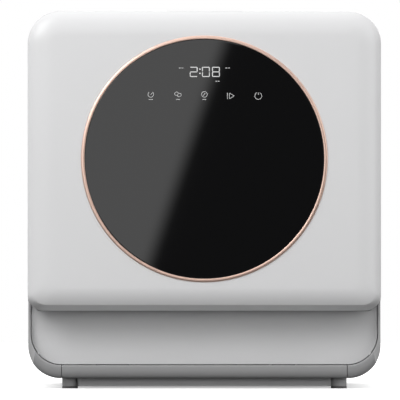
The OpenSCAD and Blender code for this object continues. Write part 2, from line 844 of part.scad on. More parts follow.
// Float that shuts the water off when the tray fills
module leak_float() {
    color("ivory") difference() {
        z_rod(under_z + 3, under_z + 15, float_x, float_y, 20);
        z_rod(under_z, under_z + 20, float_x, float_y, 3.5);
    }
}

module fan_housing() {
    half = 32;
    color("dimgray") difference() {
        union() {
            difference() {
                block([fan_x - half, fan_x + half], fan_y, [fan_z - half, fan_z + half]);
                y_rod(fan_y[0] + 3, fan_y[1] + 1, fan_x, fan_z, 29);
            }
            y_rod(fan_y[0], fan_y[0] + 7, fan_x, fan_z, 9);
            difference() {
                y_rod(tub_rear_y + tub_wall, fan_y[0] + 1, fan_x, fan_z, 25);
                y_rod(tub_rear_y, fan_y[0] + 5, fan_x, fan_z, 22);
            }
        }
        for (a = [45:90:315]) translate([fan_x, 0, fan_z]) rotate([0, a, 0])
            block([12, 19], [fan_y[0] - 1, fan_y[0] + 4], [-7, 7]);
        y_rod(fan_y[0] - 1, fan_y[0] + 8, fan_x, fan_z, 2.06);
    }
}

module fan_rotor() {
    color("dimgray") union() {
        y_rod(fan_y[0] + 7.4, fan_y[1] - 3, fan_x, fan_z, 12);
        y_rod(fan_y[0] + 1, fan_y[0] + 8, fan_x, fan_z, 2);
        intersection() {
            y_rod(fan_y[0] + 8, fan_y[1] - 3, fan_x, fan_z, 27.5);
            for (a = [0:60:300]) translate([fan_x, fan_y[0] + 15, fan_z]) rotate([0, a, 0])
                rotate([35, 0, 0]) block([8, 32], [-0.8, 0.8], [-12, 12]);
        }
    }
}

// Hinge and lock

// Plates on the tub that carry the hinge pins
module hinge_brackets() {
    arm_x = [190.8, 193.3];
    color("silver") both_sides() difference() {
        union() {
            block(arm_x, [hinge_y, scoop_y + 5], [hinge_z - 6, hinge_z + 6]);
            x_rod(arm_x[0], arm_x[1], hinge_y, hinge_z, 6);
            block([tub_half_w + tub_wall, arm_x[1]], [scoop_y + 4, -120], [hinge_z - 6, hinge_z + 34]);
        }
        x_rod(arm_x[0] - 1, arm_x[1] + 1, hinge_y, hinge_z, pin_r);
        block([tub_half_w - 1, arm_x[0] - 0.01], [scoop_y + 6.5, -119], [hinge_z - 7, hinge_z + 21]);
    }
}

module hinge_pins() {
    color("silver") both_sides() x_rod(184.8, 196.2, hinge_y, hinge_z, pin_r);
}

// Coils round the pins that balance the door
module door_springs() {
    wire = 0.8;
    coil_r = 5.2;
    color("dimgray") both_sides() union() {
        for (x = [188.2, 189.7]) translate([x, hinge_y, hinge_z]) rotate([0, 90, 0])
            rotate_extrude() translate([coil_r, 0]) circle(r = wire, $fn = 20);
        y_rod(hinge_y, scoop_y + 4, 189.7, hinge_z - coil_r, wire);
    }
}

module door_lock() {
    color("dimgray") difference() {
        block([-20, 22], [flange_y + flange_t, -138], [tub_top_z + tub_wall, body_h - casing_wall]);
        block([-8, 17], [flange_y, -142], [lock_z0, lock_z1]);
    }
}

// Sprung pawl beside the tongue
module latch_pawl() {
    color("white") along_z_polygon([[6.9, -158], [8.4, -161.5], [13, -161.5], [13, -151], [8.4, -151],
        [6.9, -154]], lock_z0 + 0.3, lock_z1 - 0.3);
}

// Extrudes an X-Y outline between two levels
module along_z_polygon(points, z0, z1) {
    translate([0, 0, z0]) linear_extrude(height = z1 - z0) polygon(points);
}

// Tongue on the door that enters the lock
module latch_tongue() {
    z = [lock_z0 + 1.2, lock_z1 - 2.3];
    color("silver") union() {
        block([-6, 6], [door_back_y - 2.5, flange_y + 14], z);
        block([-14, 14], [door_back_y - 4.5, door_back_y - 1.5], [z[0] - 12, z[1]]);
    }
}

// Door

// Points of the pillow's curve: inwards from the edge, and behind the face
function pillow(steps = 6) = [for (i = [0:steps]) let (a = 90 * i / steps)
    [pillow_w * (1 - sin(a)), pillow_d * (1 - cos(a))]];

// Side profile of the door, with the turn and the undercut at its foot
function door_profile(shrink, back_y) = let (
    y = face_y + shrink,
    low = door_low_z + shrink,
    crease = crease_z + shrink,
    turn_end = acos(1 - low_turn_depth / low_turn_r),
    rise = low_turn_r * sin(turn_end)
) concat(
    [[back_y, low], [y + undercut_depth, low]],
    [for (i = [5:-1:0]) let (a = turn_end * i / 5)
        [y + low_turn_r * (1 - cos(a)), crease + rise - low_turn_r * sin(a)]],
    [for (q = pillow()) [y + q[1], body_h - shrink - q[0]]],
    [[back_y, body_h - shrink]]
);

// Plan of the door, with the pillow on both sides
function door_plan(shrink, back_y) = let (
    y = face_y + shrink,
    right = [for (q = pillow()) [half_w - shrink - q[0], y + q[1]]]
) concat(
    [for (i = [len(right) - 1:-1:0]) [-right[i][0], right[i][1]]],
    right,
    [[half_w - shrink, back_y], [-half_w + shrink, back_y]]
);

// Cuts the pillow round one upper corner, at an angle above the horizontal
module corner_cut(angle, shrink) {
    reach = 150;
    curve = [for (q = pillow()) [corner_r - shrink - q[0], q[1]]];
    translate([half_w - corner_r, face_y + shrink, body_h - corner_r]) rotate([0, -angle, 0])
        translate([0, 0, -reach / 2]) linear_extrude(height = reach)
        polygon(concat(curve, [[corner_r + 8, pillow_d], [corner_r + 8, -5],
            [corner_r - shrink - pillow_w, -5]]));
}

// The door's outer form, or its cavity when it is shrunk by the wall
module door_form(shrink, back_y) {
    difference() {
        intersection() {
            along_y(face_y + shrink, back_y) polygon(rounded(half_w - shrink, door_low_z + shrink,
                body_h - shrink, corner_r - shrink, door_low_r - shrink));
            along_x(-half_w - 1, half_w + 1) polygon(door_profile(shrink, back_y + 1));
            translate([0, 0, door_low_z - 5]) linear_extrude(height = body_h)
                polygon(door_plan(shrink, back_y + 1));
        }
        both_sides() for (angle = [22.5, 45, 67.5]) corner_cut(angle, shrink);
    }
}

// Notches in the lower edge that let the hinge brackets in
module hinge_notches() {
    both_sides() block([hinge_x0, hinge_x1], [hinge_y - 9.5, door_back_y + 5],
        [door_low_z - 5, hinge_z + 9]);
}

module door_shell() {
    grip_x = 46;
    grip_y = [face_y + 12, face_y + 31];
    grip_low = body_h - 17;
    color("gainsboro") difference() {
        union() {
            difference() {
                door_form(0, door_back_y - 1);
                door_form(door_wall, door_back_y + 5);
            }
            block([-grip_x - 2, grip_x + 2], [grip_y[0] - 2, grip_y[1] + 2],
                [grip_low - 2, body_h - door_wall + join]);
        }
        block([-grip_x, grip_x], grip_y, [grip_low, body_h + 5]);
        y_rod(face_y - 5, face_y + 8, 0, dial_z, bezel_r + bezel_sleeve + 0.1);
        hinge_notches();
    }
}

// Metal ring round the glass
module trim_ring() {
    soft = 0.4;
    proud = face_y - y_front;
    color("rosybrown") translate([0, face_y, dial_z]) rotate([90, 0, 0]) rotate_extrude($fn = 96)
        polygon([[bezel_r, -door_wall], [bezel_r, proud - soft], [bezel_r + soft, proud],
            [ring_r - soft, proud], [ring_r, proud - soft], [ring_r, 0], [bezel_r + bezel_sleeve, 0],
            [bezel_r + bezel_sleeve, -door_wall]]);
}

module glass_panel() {
    color("black") y_rod(y_front + 0.3, face_y + door_wall, 0, dial_z, bezel_r - 0.15, $fn = 96);
}

// Disc behind the glass with the window for the display
module glass_carrier() {
    y = [face_y + door_wall, face_y + door_wall + 2.5];
    color("dimgray") difference() {
        y_rod(y[0], y[1], 0, dial_z, bezel_r + 3.6);
        block([-64, 64], [y[0] - 1, y[1] + 1], [dial_z + 65, dial_z + 118]);
        block([-70, 70], [y[0] - 1, y[1] + 1], [dial_z - 95, dial_z + 35]);
    }
}

// Display and touch board behind the upper part of the glass
module display_unit() {
    y0 = face_y + door_wall;
    color("darkgreen") union() {
        block([-60, 60], [y0, y0 + 7], [dial_z + 69, dial_z + 114]);
        block([-78, 78], [y0 + 6.6, y0 + 8.2], [dial_z + 56, dial_z + 118]);
        for (x = [-71, 71], z = [dial_z + 61, dial_z + 112]) y_rod(y0 + 2.5, y0 + 7, x, z, 3);
    }
}

// Tray-shaped sheet that closes the door towards the tub
module door_inner_panel() {
    sheet = 1.5;
    deep = 8;
    half = half_w - door_wall - 0.1;
    low = door_low_z + door_wall + 0.1;
    high = body_h - door_wall - 0.1;
    color("lightsteelblue") difference() {
        along_y(door_back_y - deep, door_back_y)
            polygon(rounded(half, low, high, corner_r - 1, door_low_r - 1));
        along_y(door_back_y - deep - 1, door_back_y - sheet)
            polygon(rounded(half - sheet, low + sheet, high - sheet, corner_r - 2.5, door_low_r - 2.5));
        block([disp_x[0] - 0.2, disp_x[1] + 0.2], [door_back_y - 5, door_back_y + 1],
            [disp_z[0] - 0.2, disp_z[1] + 0.2]);
        block([-6.2, 6.2], [door_back_y - 5, door_back_y + 1], [lock_z0 + 1, lock_z1 - 2.1]);
        hinge_notches();
    }
}

// Steel ears in the door that turn on the hinge pins
module door_hinge_plates() {
    ears = [[185, 187], [193.9, 195.9]];
    plate_y = hinge_y - 9.5;
    color("silver") both_sides() difference() {
        union() {
            for (ear = ears) {
                block(ear, [plate_y - join, hinge_y], [hinge_z - 6, hinge_z + 6]);
                x_rod(ear[0], ear[1], hinge_y, hinge_z, 6);
            }
            block([ears[0][0], ears[1][1]], [plate_y - 2, plate_y], [hinge_z - 4, hinge_z + 40]);
            block([ears[0][0], ears[1][1]], [plate_y - 2, door_back_y - 1.5], [hinge_z + 38, hinge_z + 40]);
        }
        for (ear = ears) x_rod(ear[0] - 1, ear[1] + 1, hinge_y, hinge_z, pin_r + 0.06);
    }
}

module detergent_dispenser() {
    rail_x = [disp_x[0], 22];
    deep_y = door_back_y - 25;
    color("white") difference() {
        union() {
            block(disp_x, [deep_y, disp_y], disp_z);
            block([disp_x[0] - 5, disp_x[1] + 5], [door_back_y, door_back_y + 1.6],
                [disp_z[0] - 5, disp_z[1] + 5]);
            for (edge = [disp_z[0], disp_z[1] - 2.5])
                block(rail_x, [disp_y - join, disp_y + 4.2], [edge, edge + 2.5]);
            block(rail_x, [disp_y + 2.9, disp_y + 4.2], [disp_z[0], disp_z[0] + 5]);
            block(rail_x, [disp_y + 2.9, disp_y + 4.2], [disp_z[1] - 5, disp_z[1]]);
        }
        block([disp_x[0] + 8, disp_x[0] + 53], [deep_y + 3, disp_y + 1], [disp_z[0] + 8, disp_z[1] - 8]);
        y_rod(disp_y - 12, disp_y + 1, cap_x, cap_z, 11.3);
        block([-30, disp_x[1] - 3], [deep_y - 1, disp_y - 16], [disp_z[0] + 3, disp_z[1] - 3]);
    }
}

// Lid that slides sideways over the detergent cup
module detergent_lid() {
    color("lightgray") difference() {
        block([disp_x[0] + 2, disp_x[0] + 57], [disp_y + 0.1, disp_y + 2.6],
            [disp_z[0] + 2.9, disp_z[1] - 2.9]);
        for (i = [0:3]) block([disp_x[0] + 34 + i * 5, disp_x[0] + 36.5 + i * 5],
            [disp_y + 1.8, disp_y + 3], [disp_z[0] + 24, disp_z[1] - 24]);
    }
}

module rinse_cap() {
    color("steelblue") difference() {
        union() {
            y_rod(disp_y - 10, disp_y + 1, cap_x, cap_z, 11);
            y_rod(disp_y + 0.1, disp_y + 1.8, cap_x, cap_z, 13.6);
            block([cap_x - 11, cap_x + 11], [disp_y + 1, disp_y + 4], [cap_z - 2, cap_z + 2]);
        }
        y_rod(disp_y - 11, disp_y - 2, cap_x, cap_z, 9);
    }
}

// Baskets

module wire_x(x0, x1, y, z) x_rod(x0, x1, y, z, wire_r, $fn = 8);
module wire_y(y0, y1, x, z) y_rod(y0, y1, x, z, wire_r, $fn = 8);
module wire_z(z0, z1, x, y) z_rod(z0, z1, x, y, wire_r, $fn = 8);

// Floor of the wire basket
module rack_floor() {
    color("silver") union() {
        for (i = [-6:6]) wire_y(rack_front, rack_back, i * rack_step_x, rack_floor_z);
        for (j = [0:10]) wire_x(-rack_half - rack_out, rack_half + rack_out,
            rack_front + j * rack_step_y, cross_z);
    }
}

// Walls of the wire basket, with two rings of wire
module rack_sides() {
    ring_x = rack_half + 2 * rack_out;
    color("silver") union() {
        for (i = [-6:2:6], y = [rack_front, rack_back])
            wire_z(cross_z, rack_rim_z, i * rack_step_x, y);
        for (j = [1:2:9], side = [-1, 1])
            wire_z(cross_z, rack_rim_z, side * (rack_half + rack_out), rack_front + j * rack_step_y);
        for (z = [(rack_floor_z + rack_rim_z) / 2, rack_rim_z]) {
            for (side = [-1, 1]) wire_y(rack_front - 3, rack_back + 3, side * ring_x, z);
            for (y = [rack_front - rack_out, rack_back + rack_out])
                wire_x(-rack_half - 5, rack_half + 5, y, z + 1.2);
        }
    }
}

// What is welded to the floor: two rows of tines, the rollers' stubs and the folding row's bearings
module rack_fittings() {
    tine_h = 62;
    tine_y0 = -118;
    color("silver") union() {
        for (i = [-5, -2], j = [0:8])
            wire_z(rack_floor_z, rack_floor_z + tine_h, i * rack_step_x, tine_y0 + j * rack_step_y);
        both_sides() for (y = roller_y) {
            block([rack_half - 0.4, rack_half + 3.6], [y - 5, y + 5], [roller_z - 4, rack_floor_z]);
            x_rod(rack_half, 175.4, y, roller_z, 2);
            x_rod(rack_half, 168.4, y, roller_z, 4);
            x_rod(174.6, 175.4, y, roller_z, 3.2);
        }
        difference() {
            for (y = [-76, 124])
                block([fold_x - 5, fold_x + 4], [y - 3, y + 3], [rack_floor_z - 1, fold_z + 4]);
            y_rod(-85, 130, fold_x, fold_z, wire_r + 0.08);
        }
    }
}

// Row of tines that folds flat
module fold_tines() {
    color("silver") union() {
        y_rod(-82, 129, fold_x, fold_z, wire_r);
        for (i = [0:7]) wire_z(fold_z, fold_z + 60, fold_x, -60 + i * 24);
    }
}

// Slotted basket for cutlery with a handle
module cutlery_basket() {
    x = [72, 148];
    y = [-140, -86];
    z = [rack_floor_z + wire_r + 0.3, rack_floor_z + 84];
    wall = 2;
    mid_y = (y[0] + y[1]) / 2;
    color("dimgray") difference() {
        union() {
            block(x, y, z);
            block([x[0], x[0] + 8], [mid_y - 5, mid_y + 5], [z[1] - 1, z[1] + 28]);
            block([x[1] - 8, x[1]], [mid_y - 5, mid_y + 5], [z[1] - 1, z[1] + 28]);
            block(x, [mid_y - 5, mid_y + 5], [z[1] + 20, z[1] + 28]);
        }
        block([x[0] + wall, (x[0] + x[1]) / 2 - 1], [y[0] + wall, y[1] - wall], [z[0] + wall, z[1] + 1]);
        block([(x[0] + x[1]) / 2 + 1, x[1] - wall], [y[0] + wall, y[1] - wall], [z[0] + wall, z[1] + 1]);
        block([x[0] + wall, x[1] - wall], [y[0] + wall, y[1] - wall], [z[1], z[1] + 20]);
        for (i = [0:4]) block([x[0] + 9 + i * 13, x[0] + 15 + i * 13], [y[0] - 1, y[1] + 1],
            [z[0] + 12, z[0] + 62]);
    }
}

// Roller that turns on a stub of the basket
module roller(side, y) {
    color("white") translate([side * 171.5, y, roller_z]) difference() {
        x_rod(-2.7, 2.7, 0, 0, roller_r);
        x_rod(-4, 4, 0, 0, 2.06);
        for (a = [0:60:300]) rotate([a, 0, 0]) x_rod(-4, 4, 0, 5.6, 1.5);
    }
}

module roller_front_left() roller(-1, roller_y[0]);
module roller_front_right() roller(1, roller_y[0]);
module roller_rear_left() roller(-1, roller_y[1]);
module roller_rear_right() roller(1, roller_y[1]);

outer_casing();
base_bar();
toe_panel();
base_tray();
feet();
foot_pads();
rear_panel();
rear_screws();
tub();
door_gasket();
rack_rails();
tub_lamp();
water_tank();
fill_lid();
inlet_valve();
drain_outlet();
water_hoses();
cord_gland();
sump();
coarse_filter();
filter_cup();
feed_manifold();
lower_spray_arm();
upper_feed_duct();
upper_spray_arm();
arm_nuts();
wash_pump();
wash_impeller();
water_heater();
drain_pump();
drain_impeller();
power_board();
leak_float();
fan_housing();
fan_rotor();
hinge_brackets();
hinge_pins();
door_springs();
door_lock();
latch_pawl();
door_shell();
trim_ring();
glass_panel();
glass_carrier();
display_unit();
door_inner_panel();
latch_tongue();
door_hinge_plates();
detergent_dispenser();
detergent_lid();
rinse_cap();
rack_floor();
rack_sides();
rack_fittings();
fold_tines();
cutlery_basket();
roller_front_left();
roller_front_right();
roller_rear_left();
roller_rear_right();
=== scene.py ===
"""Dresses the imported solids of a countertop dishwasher. Lengths are metres, and the frame is the solids' own."""
import json
import math

import bmesh
import bpy
import numpy as np
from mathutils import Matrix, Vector


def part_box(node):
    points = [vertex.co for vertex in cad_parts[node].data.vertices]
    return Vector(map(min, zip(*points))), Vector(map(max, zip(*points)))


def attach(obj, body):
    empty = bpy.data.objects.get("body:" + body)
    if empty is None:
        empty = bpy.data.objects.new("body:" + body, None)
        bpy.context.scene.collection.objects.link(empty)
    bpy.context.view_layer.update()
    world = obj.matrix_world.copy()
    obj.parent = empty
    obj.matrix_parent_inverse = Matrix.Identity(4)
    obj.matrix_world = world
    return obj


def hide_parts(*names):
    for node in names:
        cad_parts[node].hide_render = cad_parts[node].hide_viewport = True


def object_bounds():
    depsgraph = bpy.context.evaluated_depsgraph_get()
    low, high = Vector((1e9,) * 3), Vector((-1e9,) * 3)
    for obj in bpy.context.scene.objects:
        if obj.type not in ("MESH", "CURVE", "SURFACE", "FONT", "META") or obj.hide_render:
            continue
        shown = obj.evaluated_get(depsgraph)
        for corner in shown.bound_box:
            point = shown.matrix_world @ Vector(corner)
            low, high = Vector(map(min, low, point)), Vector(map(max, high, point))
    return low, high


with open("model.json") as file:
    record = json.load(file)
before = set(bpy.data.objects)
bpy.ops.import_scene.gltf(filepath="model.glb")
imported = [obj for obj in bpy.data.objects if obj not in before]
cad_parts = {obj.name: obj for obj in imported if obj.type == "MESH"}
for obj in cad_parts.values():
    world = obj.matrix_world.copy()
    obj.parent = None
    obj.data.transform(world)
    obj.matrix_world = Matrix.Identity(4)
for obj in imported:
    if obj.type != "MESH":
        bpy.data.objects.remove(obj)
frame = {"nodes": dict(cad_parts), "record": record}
cad_low, cad_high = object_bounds()

bl_info = {
    "name": "Countertop Dishwasher",
    "version": (1, 0, 0),
    "blender": (4, 5, 0),
    "location": "3D View > Sidebar > Dishwasher",
    "description": "Dresses the solids of a countertop dishwasher",
    "category": "Object",
}

MM = 0.001
FACE_Y = -216 * MM  # foremost plane, of the door's face and of the nose
door_low, door_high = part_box("door_shell")
casing_low, casing_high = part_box("outer_casing")
ring_low, ring_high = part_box("trim_ring")
glass_low, glass_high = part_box("glass_panel")
panel_low, panel_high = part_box("door_inner_panel")


# ---- sizes and colours a user may change ----

class DoorSizes(bpy.types.PropertyGroup):
    pillow_width: bpy.props.FloatProperty(
        name="Pillow width", description="Width of the rounding round the door's face",
        default=30 * MM, unit="LENGTH")
    pillow_depth: bpy.props.FloatProperty(
        name="Pillow depth", description="How far the rounding falls back at the door's edge",
        default=14 * MM, unit="LENGTH")
    top_radius: bpy.props.FloatProperty(
        name="Top corners", description="Radius of the upper corners seen from the front",
        default=39 * MM, unit="LENGTH")
    low_radius: bpy.props.FloatProperty(
        name="Lower corners", description="Radius of the door's lower corners",
        default=19 * MM, unit="LENGTH")
    wall: bpy.props.FloatProperty(
        name="Wall", description="Thickness of the door's moulded shell",
        default=2.5 * MM, unit="LENGTH")
    grip_depth: bpy.props.FloatProperty(
        name="Grip depth", description="Depth of the finger grip in the door's upper edge",
        default=17 * MM, unit="LENGTH")


class DialSizes(bpy.types.PropertyGroup):
    ring_width: bpy.props.FloatProperty(
        name="Ring width", description="Width of the metal ring round the glass",
        default=4.2 * MM, unit="LENGTH")
    digit_height: bpy.props.FloatProperty(
        name="Digit height", description="Height of the clock's digits",
        default=13 * MM, unit="LENGTH")
    icon_radius: bpy.props.FloatProperty(
        name="Icon radius", description="Radius of the round touch symbols",
        default=3.35 * MM, unit="LENGTH")


class BaseSizes(bpy.types.PropertyGroup):
    nose_height: bpy.props.FloatProperty(
        name="Nose height", description="Height of the nose under the concave panel",
        default=15.5 * MM, unit="LENGTH")
    cove_fillet: bpy.props.FloatProperty(
        name="Cove fillet", description="Rounding where the concave panel meets the side bands",
        default=10 * MM, unit="LENGTH")


class Paints(bpy.types.PropertyGroup):
    body: bpy.props.FloatVectorProperty(
        name="Door", description="Light silver paint of the door",
        default=(0.646, 0.646, 0.652), subtype="COLOR")
    base: bpy.props.FloatVectorProperty(
        name="Casing", description="Darker silver paint of the casing and the nose",
        default=(0.302, 0.302, 0.305), subtype="COLOR")
    cove: bpy.props.FloatVectorProperty(
        name="Cove", description="Silver-grey of the concave panel",
        default=(0.511, 0.511, 0.516), subtype="COLOR")
    plinth: bpy.props.FloatVectorProperty(
        name="Plinth", description="Grey of the plinth and the tray under the casing",
        default=(0.480, 0.480, 0.485), subtype="COLOR")
    glass: bpy.props.FloatVectorProperty(
        name="Glass", description="Black behind the glass disc",
        default=(0.002, 0.002, 0.0023), subtype="COLOR")
    ring: bpy.props.FloatVectorProperty(
        name="Ring", description="Rose-tinted metal of the trim ring",
        default=(0.86, 0.61, 0.51), subtype="COLOR")
    symbols: bpy.props.FloatVectorProperty(
        name="Symbols", description="Light of the digits behind the glass",
        default=(0.60, 0.60, 0.60), subtype="COLOR")


# ---- node groups shared by the finishes ----

def new_group(name, inputs, outputs):
    """Makes an empty shader node group with named sockets and returns it with its two end nodes."""
    tree = bpy.data.node_groups.new(name, "ShaderNodeTree")
    for socket, kind, value in inputs:
        made = tree.interface.new_socket(socket, in_out="INPUT", socket_type="NodeSocket" + kind)
        if value is not None:
            made.default_value = value
    for socket, kind in outputs:
        tree.interface.new_socket(socket, in_out="OUTPUT", socket_type="NodeSocket" + kind)
    return tree, tree.nodes.new("NodeGroupInput"), tree.nodes.new("NodeGroupOutput")


def noise(tree, vector, scale, detail, roughness=0.5):
    node = tree.nodes.new("ShaderNodeTexNoise")
    node.inputs["Detail"].default_value = detail
    node.inputs["Roughness"].default_value = roughness
    tree.links.new(vector, node.inputs["Vector"])
    if isinstance(scale, (int, float)):
        node.inputs["Scale"].default_value = scale
    else:
        tree.links.new(scale, node.inputs["Scale"])
    return node.outputs["Fac"]


def maths(tree, operation, first, second):
    node = tree.nodes.new("ShaderNodeMath")
    node.operation = operation
    for socket, value in zip(node.inputs, (first, second)):
        if isinstance(value, (int, float)):
            socket.default_value = value
        else:
            tree.links.new(value, socket)
    return node.outputs[0]


def build_tone_drift():
    """Colour and roughness that drift a little: value = base * (1 + spread * (noise - 0.5))."""
    tree, start, end = new_group("tone_drift", [
        ("Vector", "Vector", None), ("Color", "Color", (0.8, 0.8, 0.8, 1)), ("Spread", "Float", 0.06),
        ("Roughness", "Float", 0.4), ("Rough Spread", "Float", 0.1), ("Scale", "Float", 9.0)],
        [("Color", "Color"), ("Roughness", "Float")])
    drift = maths(tree, "SUBTRACT", noise(tree, start.outputs["Vector"], start.outputs["Scale"], 4), 0.5)
    gain = maths(tree, "ADD", maths(tree, "MULTIPLY", drift, start.outputs["Spread"]), 1.0)
    tint = tree.nodes.new("ShaderNodeVectorMath")
    tint.operation = "SCALE"
    tree.links.new(start.outputs["Color"], tint.inputs[0])
    tree.links.new(gain, tint.inputs["Scale"])
    tree.links.new(tint.outputs[0], end.inputs["Color"])
    fine = maths(tree, "SUBTRACT", noise(tree, start.outputs["Vector"], 60.0, 6, 0.6), 0.5)
    rough = maths(tree, "ADD", maths(tree, "MULTIPLY", fine, start.outputs["Rough Spread"]),
                  start.outputs["Roughness"])
    tree.links.new(rough, end.inputs["Roughness"])
    return tree


def build_skin_grain():
    """Height of a sprayed or moulded skin: a fine grain over a broad orange peel."""
    tree, start, end = new_group("skin_grain", [
        ("Vector", "Vector", None), ("Grain Scale", "Float", 2500.0), ("Peel Scale", "Float", 300.0),
        ("Peel", "Float", 0.3)], [("Height", "Float")])
    fine = noise(tree, start.outputs["Vector"], start.outputs["Grain Scale"], 2)
    peel = noise(tree, start.outputs["Vector"], start.outputs["Peel Scale"], 1)
    tree.links.new(maths(tree, "ADD", fine, maths(tree, "MULTIPLY", peel, start.outputs["Peel"])),
                   end.inputs["Height"])
    return tree


def build_brushed_lines():
    """Fine lines of brushed or drawn metal: noise that is stretched by Stretch, a scale for each axis."""
    tree, start, end = new_group("brushed_lines", [
        ("Vector", "Vector", None), ("Stretch", "Vector", (20, 1500, 1500))],
        [("Height", "Float"), ("Lines", "Float")])
    pull = tree.nodes.new("ShaderNodeVectorMath")
    pull.operation = "MULTIPLY"
    tree.links.new(start.outputs["Vector"], pull.inputs[0])
    tree.links.new(start.outputs["Stretch"], pull.inputs[1])
    lines = noise(tree, pull.outputs[0], 1.0, 3)
    tree.links.new(lines, end.inputs["Height"])
    tree.links.new(lines, end.inputs["Lines"])
    return tree


GROUPS = {}


def use_group(tree, name, **values):
    """Places a shared group in a material and sets its plain inputs."""
    if name not in GROUPS:
        GROUPS[name] = {"tone_drift": build_tone_drift, "skin_grain": build_skin_grain,
                        "brushed_lines": build_brushed_lines}[name]()
    node = tree.nodes.new("ShaderNodeGroup")
    node.node_tree = GROUPS[name]
    for key, value in values.items():
        node.inputs[key.replace("_", " ").title()].default_value = value
    return node


def start_material(name):
    material = bpy.data.materials.new(name)
    material.use_nodes = True
    tree = material.node_tree
    tree.nodes.clear()
    out = tree.nodes.new("ShaderNodeOutputMaterial")
    shader = tree.nodes.new("ShaderNodeBsdfPrincipled")
    tree.links.new(shader.outputs[0], out.inputs["Surface"])
    place = tree.nodes.new("ShaderNodeTexCoord").outputs["Object"]
    return material, tree, shader, place


def finish(name, colour, rough, metal=0.0, spread=0.05, rough_spread=0.08, scale=9.0, grain=None,
           peel=0.3, bump=0.05, lines=None, line_bump=0.04, coat=0.0, ior=1.5):
    """Makes a finish: drifting tone and roughness, and a fine relief of grain or of brushed lines."""
    material, tree, shader, place = start_material(name)
    tone = use_group(tree, "tone_drift", color=(*colour[:3], 1), spread=spread, roughness=rough,
                     rough_spread=rough_spread, scale=scale)
    tree.links.new(place, tone.inputs["Vector"])
    tree.links.new(tone.outputs["Color"], shader.inputs["Base Color"])
    tree.links.new(tone.outputs["Roughness"], shader.inputs["Roughness"])
    shader.inputs["Metallic"].default_value = metal
    shader.inputs["IOR"].default_value = ior
    shader.inputs["Coat Weight"].default_value = coat
    shader.inputs["Coat Roughness"].default_value = 0.12
    relief = None
    if lines:
        relief = use_group(tree, "brushed_lines", stretch=lines)
        depth = line_bump
    elif grain:
        relief = use_group(tree, "skin_grain", grain_scale=grain, peel_scale=grain / 8, peel=peel)
        depth = bump
    if relief:
        tree.links.new(place, relief.inputs["Vector"])
        bend = tree.nodes.new("ShaderNodeBump")
        bend.inputs["Strength"].default_value = depth
        bend.inputs["Distance"].default_value = 0.2 * MM
        tree.links.new(relief.outputs["Height"], bend.inputs["Height"])
        tree.links.new(bend.outputs["Normal"], shader.inputs["Normal"])
    return material


RECIPES = {
    "painted_metal": dict(rough=0.42, grain=2600.0, bump=0.05, spread=0.03),
    "gloss_plastic": dict(rough=0.32, grain=1800.0, bump=0.03, spread=0.03),
    "matte_plastic": dict(rough=0.55, grain=2200.0, bump=0.12, spread=0.06),
    "brushed_steel": dict(rough=0.30, metal=1.0, lines=(30, 1800, 1800), spread=0.06),
    "chrome": dict(rough=0.18, metal=1.0, grain=900.0, bump=0.02, spread=0.04),
    "aluminium": dict(rough=0.30, metal=1.0, grain=3200.0, bump=0.03, spread=0.03),
    "rubber": dict(rough=0.72, grain=1500.0, bump=0.2, spread=0.10),
    "glass": dict(rough=0.015, spread=0.02, rough_spread=0.004),
}


def make_finishes(paints):
    """Makes one finish for each of the record's slots, and paints every solid with its own."""
    made = {}
    own = {"door_grey": paints.body, "casing_grey": paints.base, "lid_plastic": paints.base,
           "bar_silver": paints.base, "toe_silver": paints.cove, "ring_metal": paints.ring,
           "dial_glass": paints.glass, "base_grey": paints.plinth,
           "foot_grey": (0.50, 0.50, 0.505), "pad_rubber": (0.20, 0.20, 0.20)}
    for entry in frame["record"]["materials"]:
        slot = entry["slot"]
        colour = own.get(slot, entry["base_color"])
        made[slot] = finish(slot + "_finish", tuple(colour), **RECIPES[entry["class"]])
    slots = {entry["node"]: entry["material_slot"] for entry in frame["record"]["subparts"]}
    for node, thing in frame["nodes"].items():
        thing.data.materials.clear()
        thing.data.materials.append(made[slots[node]])
    return made


FINISHES = {}


# ---- meshes ----

def put(name, points, faces, body, slot, nodes=(), sharp=35, merge=2e-6, material=None):
    """Makes a piece from arrays of points and faces, closes its seams, faces it outwards and hands it over."""
    mesh = bpy.data.meshes.new(name)
    lists = [face for block in faces for face in np.asarray(block).tolist()]
    mesh.from_pydata(np.asarray(points, float).tolist(), [], lists)
    work = bmesh.new()
    work.from_mesh(mesh)
    bmesh.ops.remove_doubles(work, verts=work.verts, dist=merge)
    bmesh.ops.dissolve_degenerate(work, edges=work.edges, dist=merge)
    bmesh.ops.recalc_face_normals(work, faces=work.faces)
    work.to_mesh(mesh)
    work.free()
    return hand_over(name, mesh, body, slot, nodes, sharp, material)


def hand_over(name, mesh, body, slot, nodes, sharp, material=None):
    mesh.shade_smooth()
    mesh.set_sharp_from_angle(angle=math.radians(sharp))
    mesh.materials.clear()
    mesh.materials.append(material or FINISHES[slot])
    thing = bpy.data.objects.new(name, mesh)
    bpy.context.scene.collection.objects.link(thing)
    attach(thing, body)
    if nodes:
        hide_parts(*nodes)
    return thing


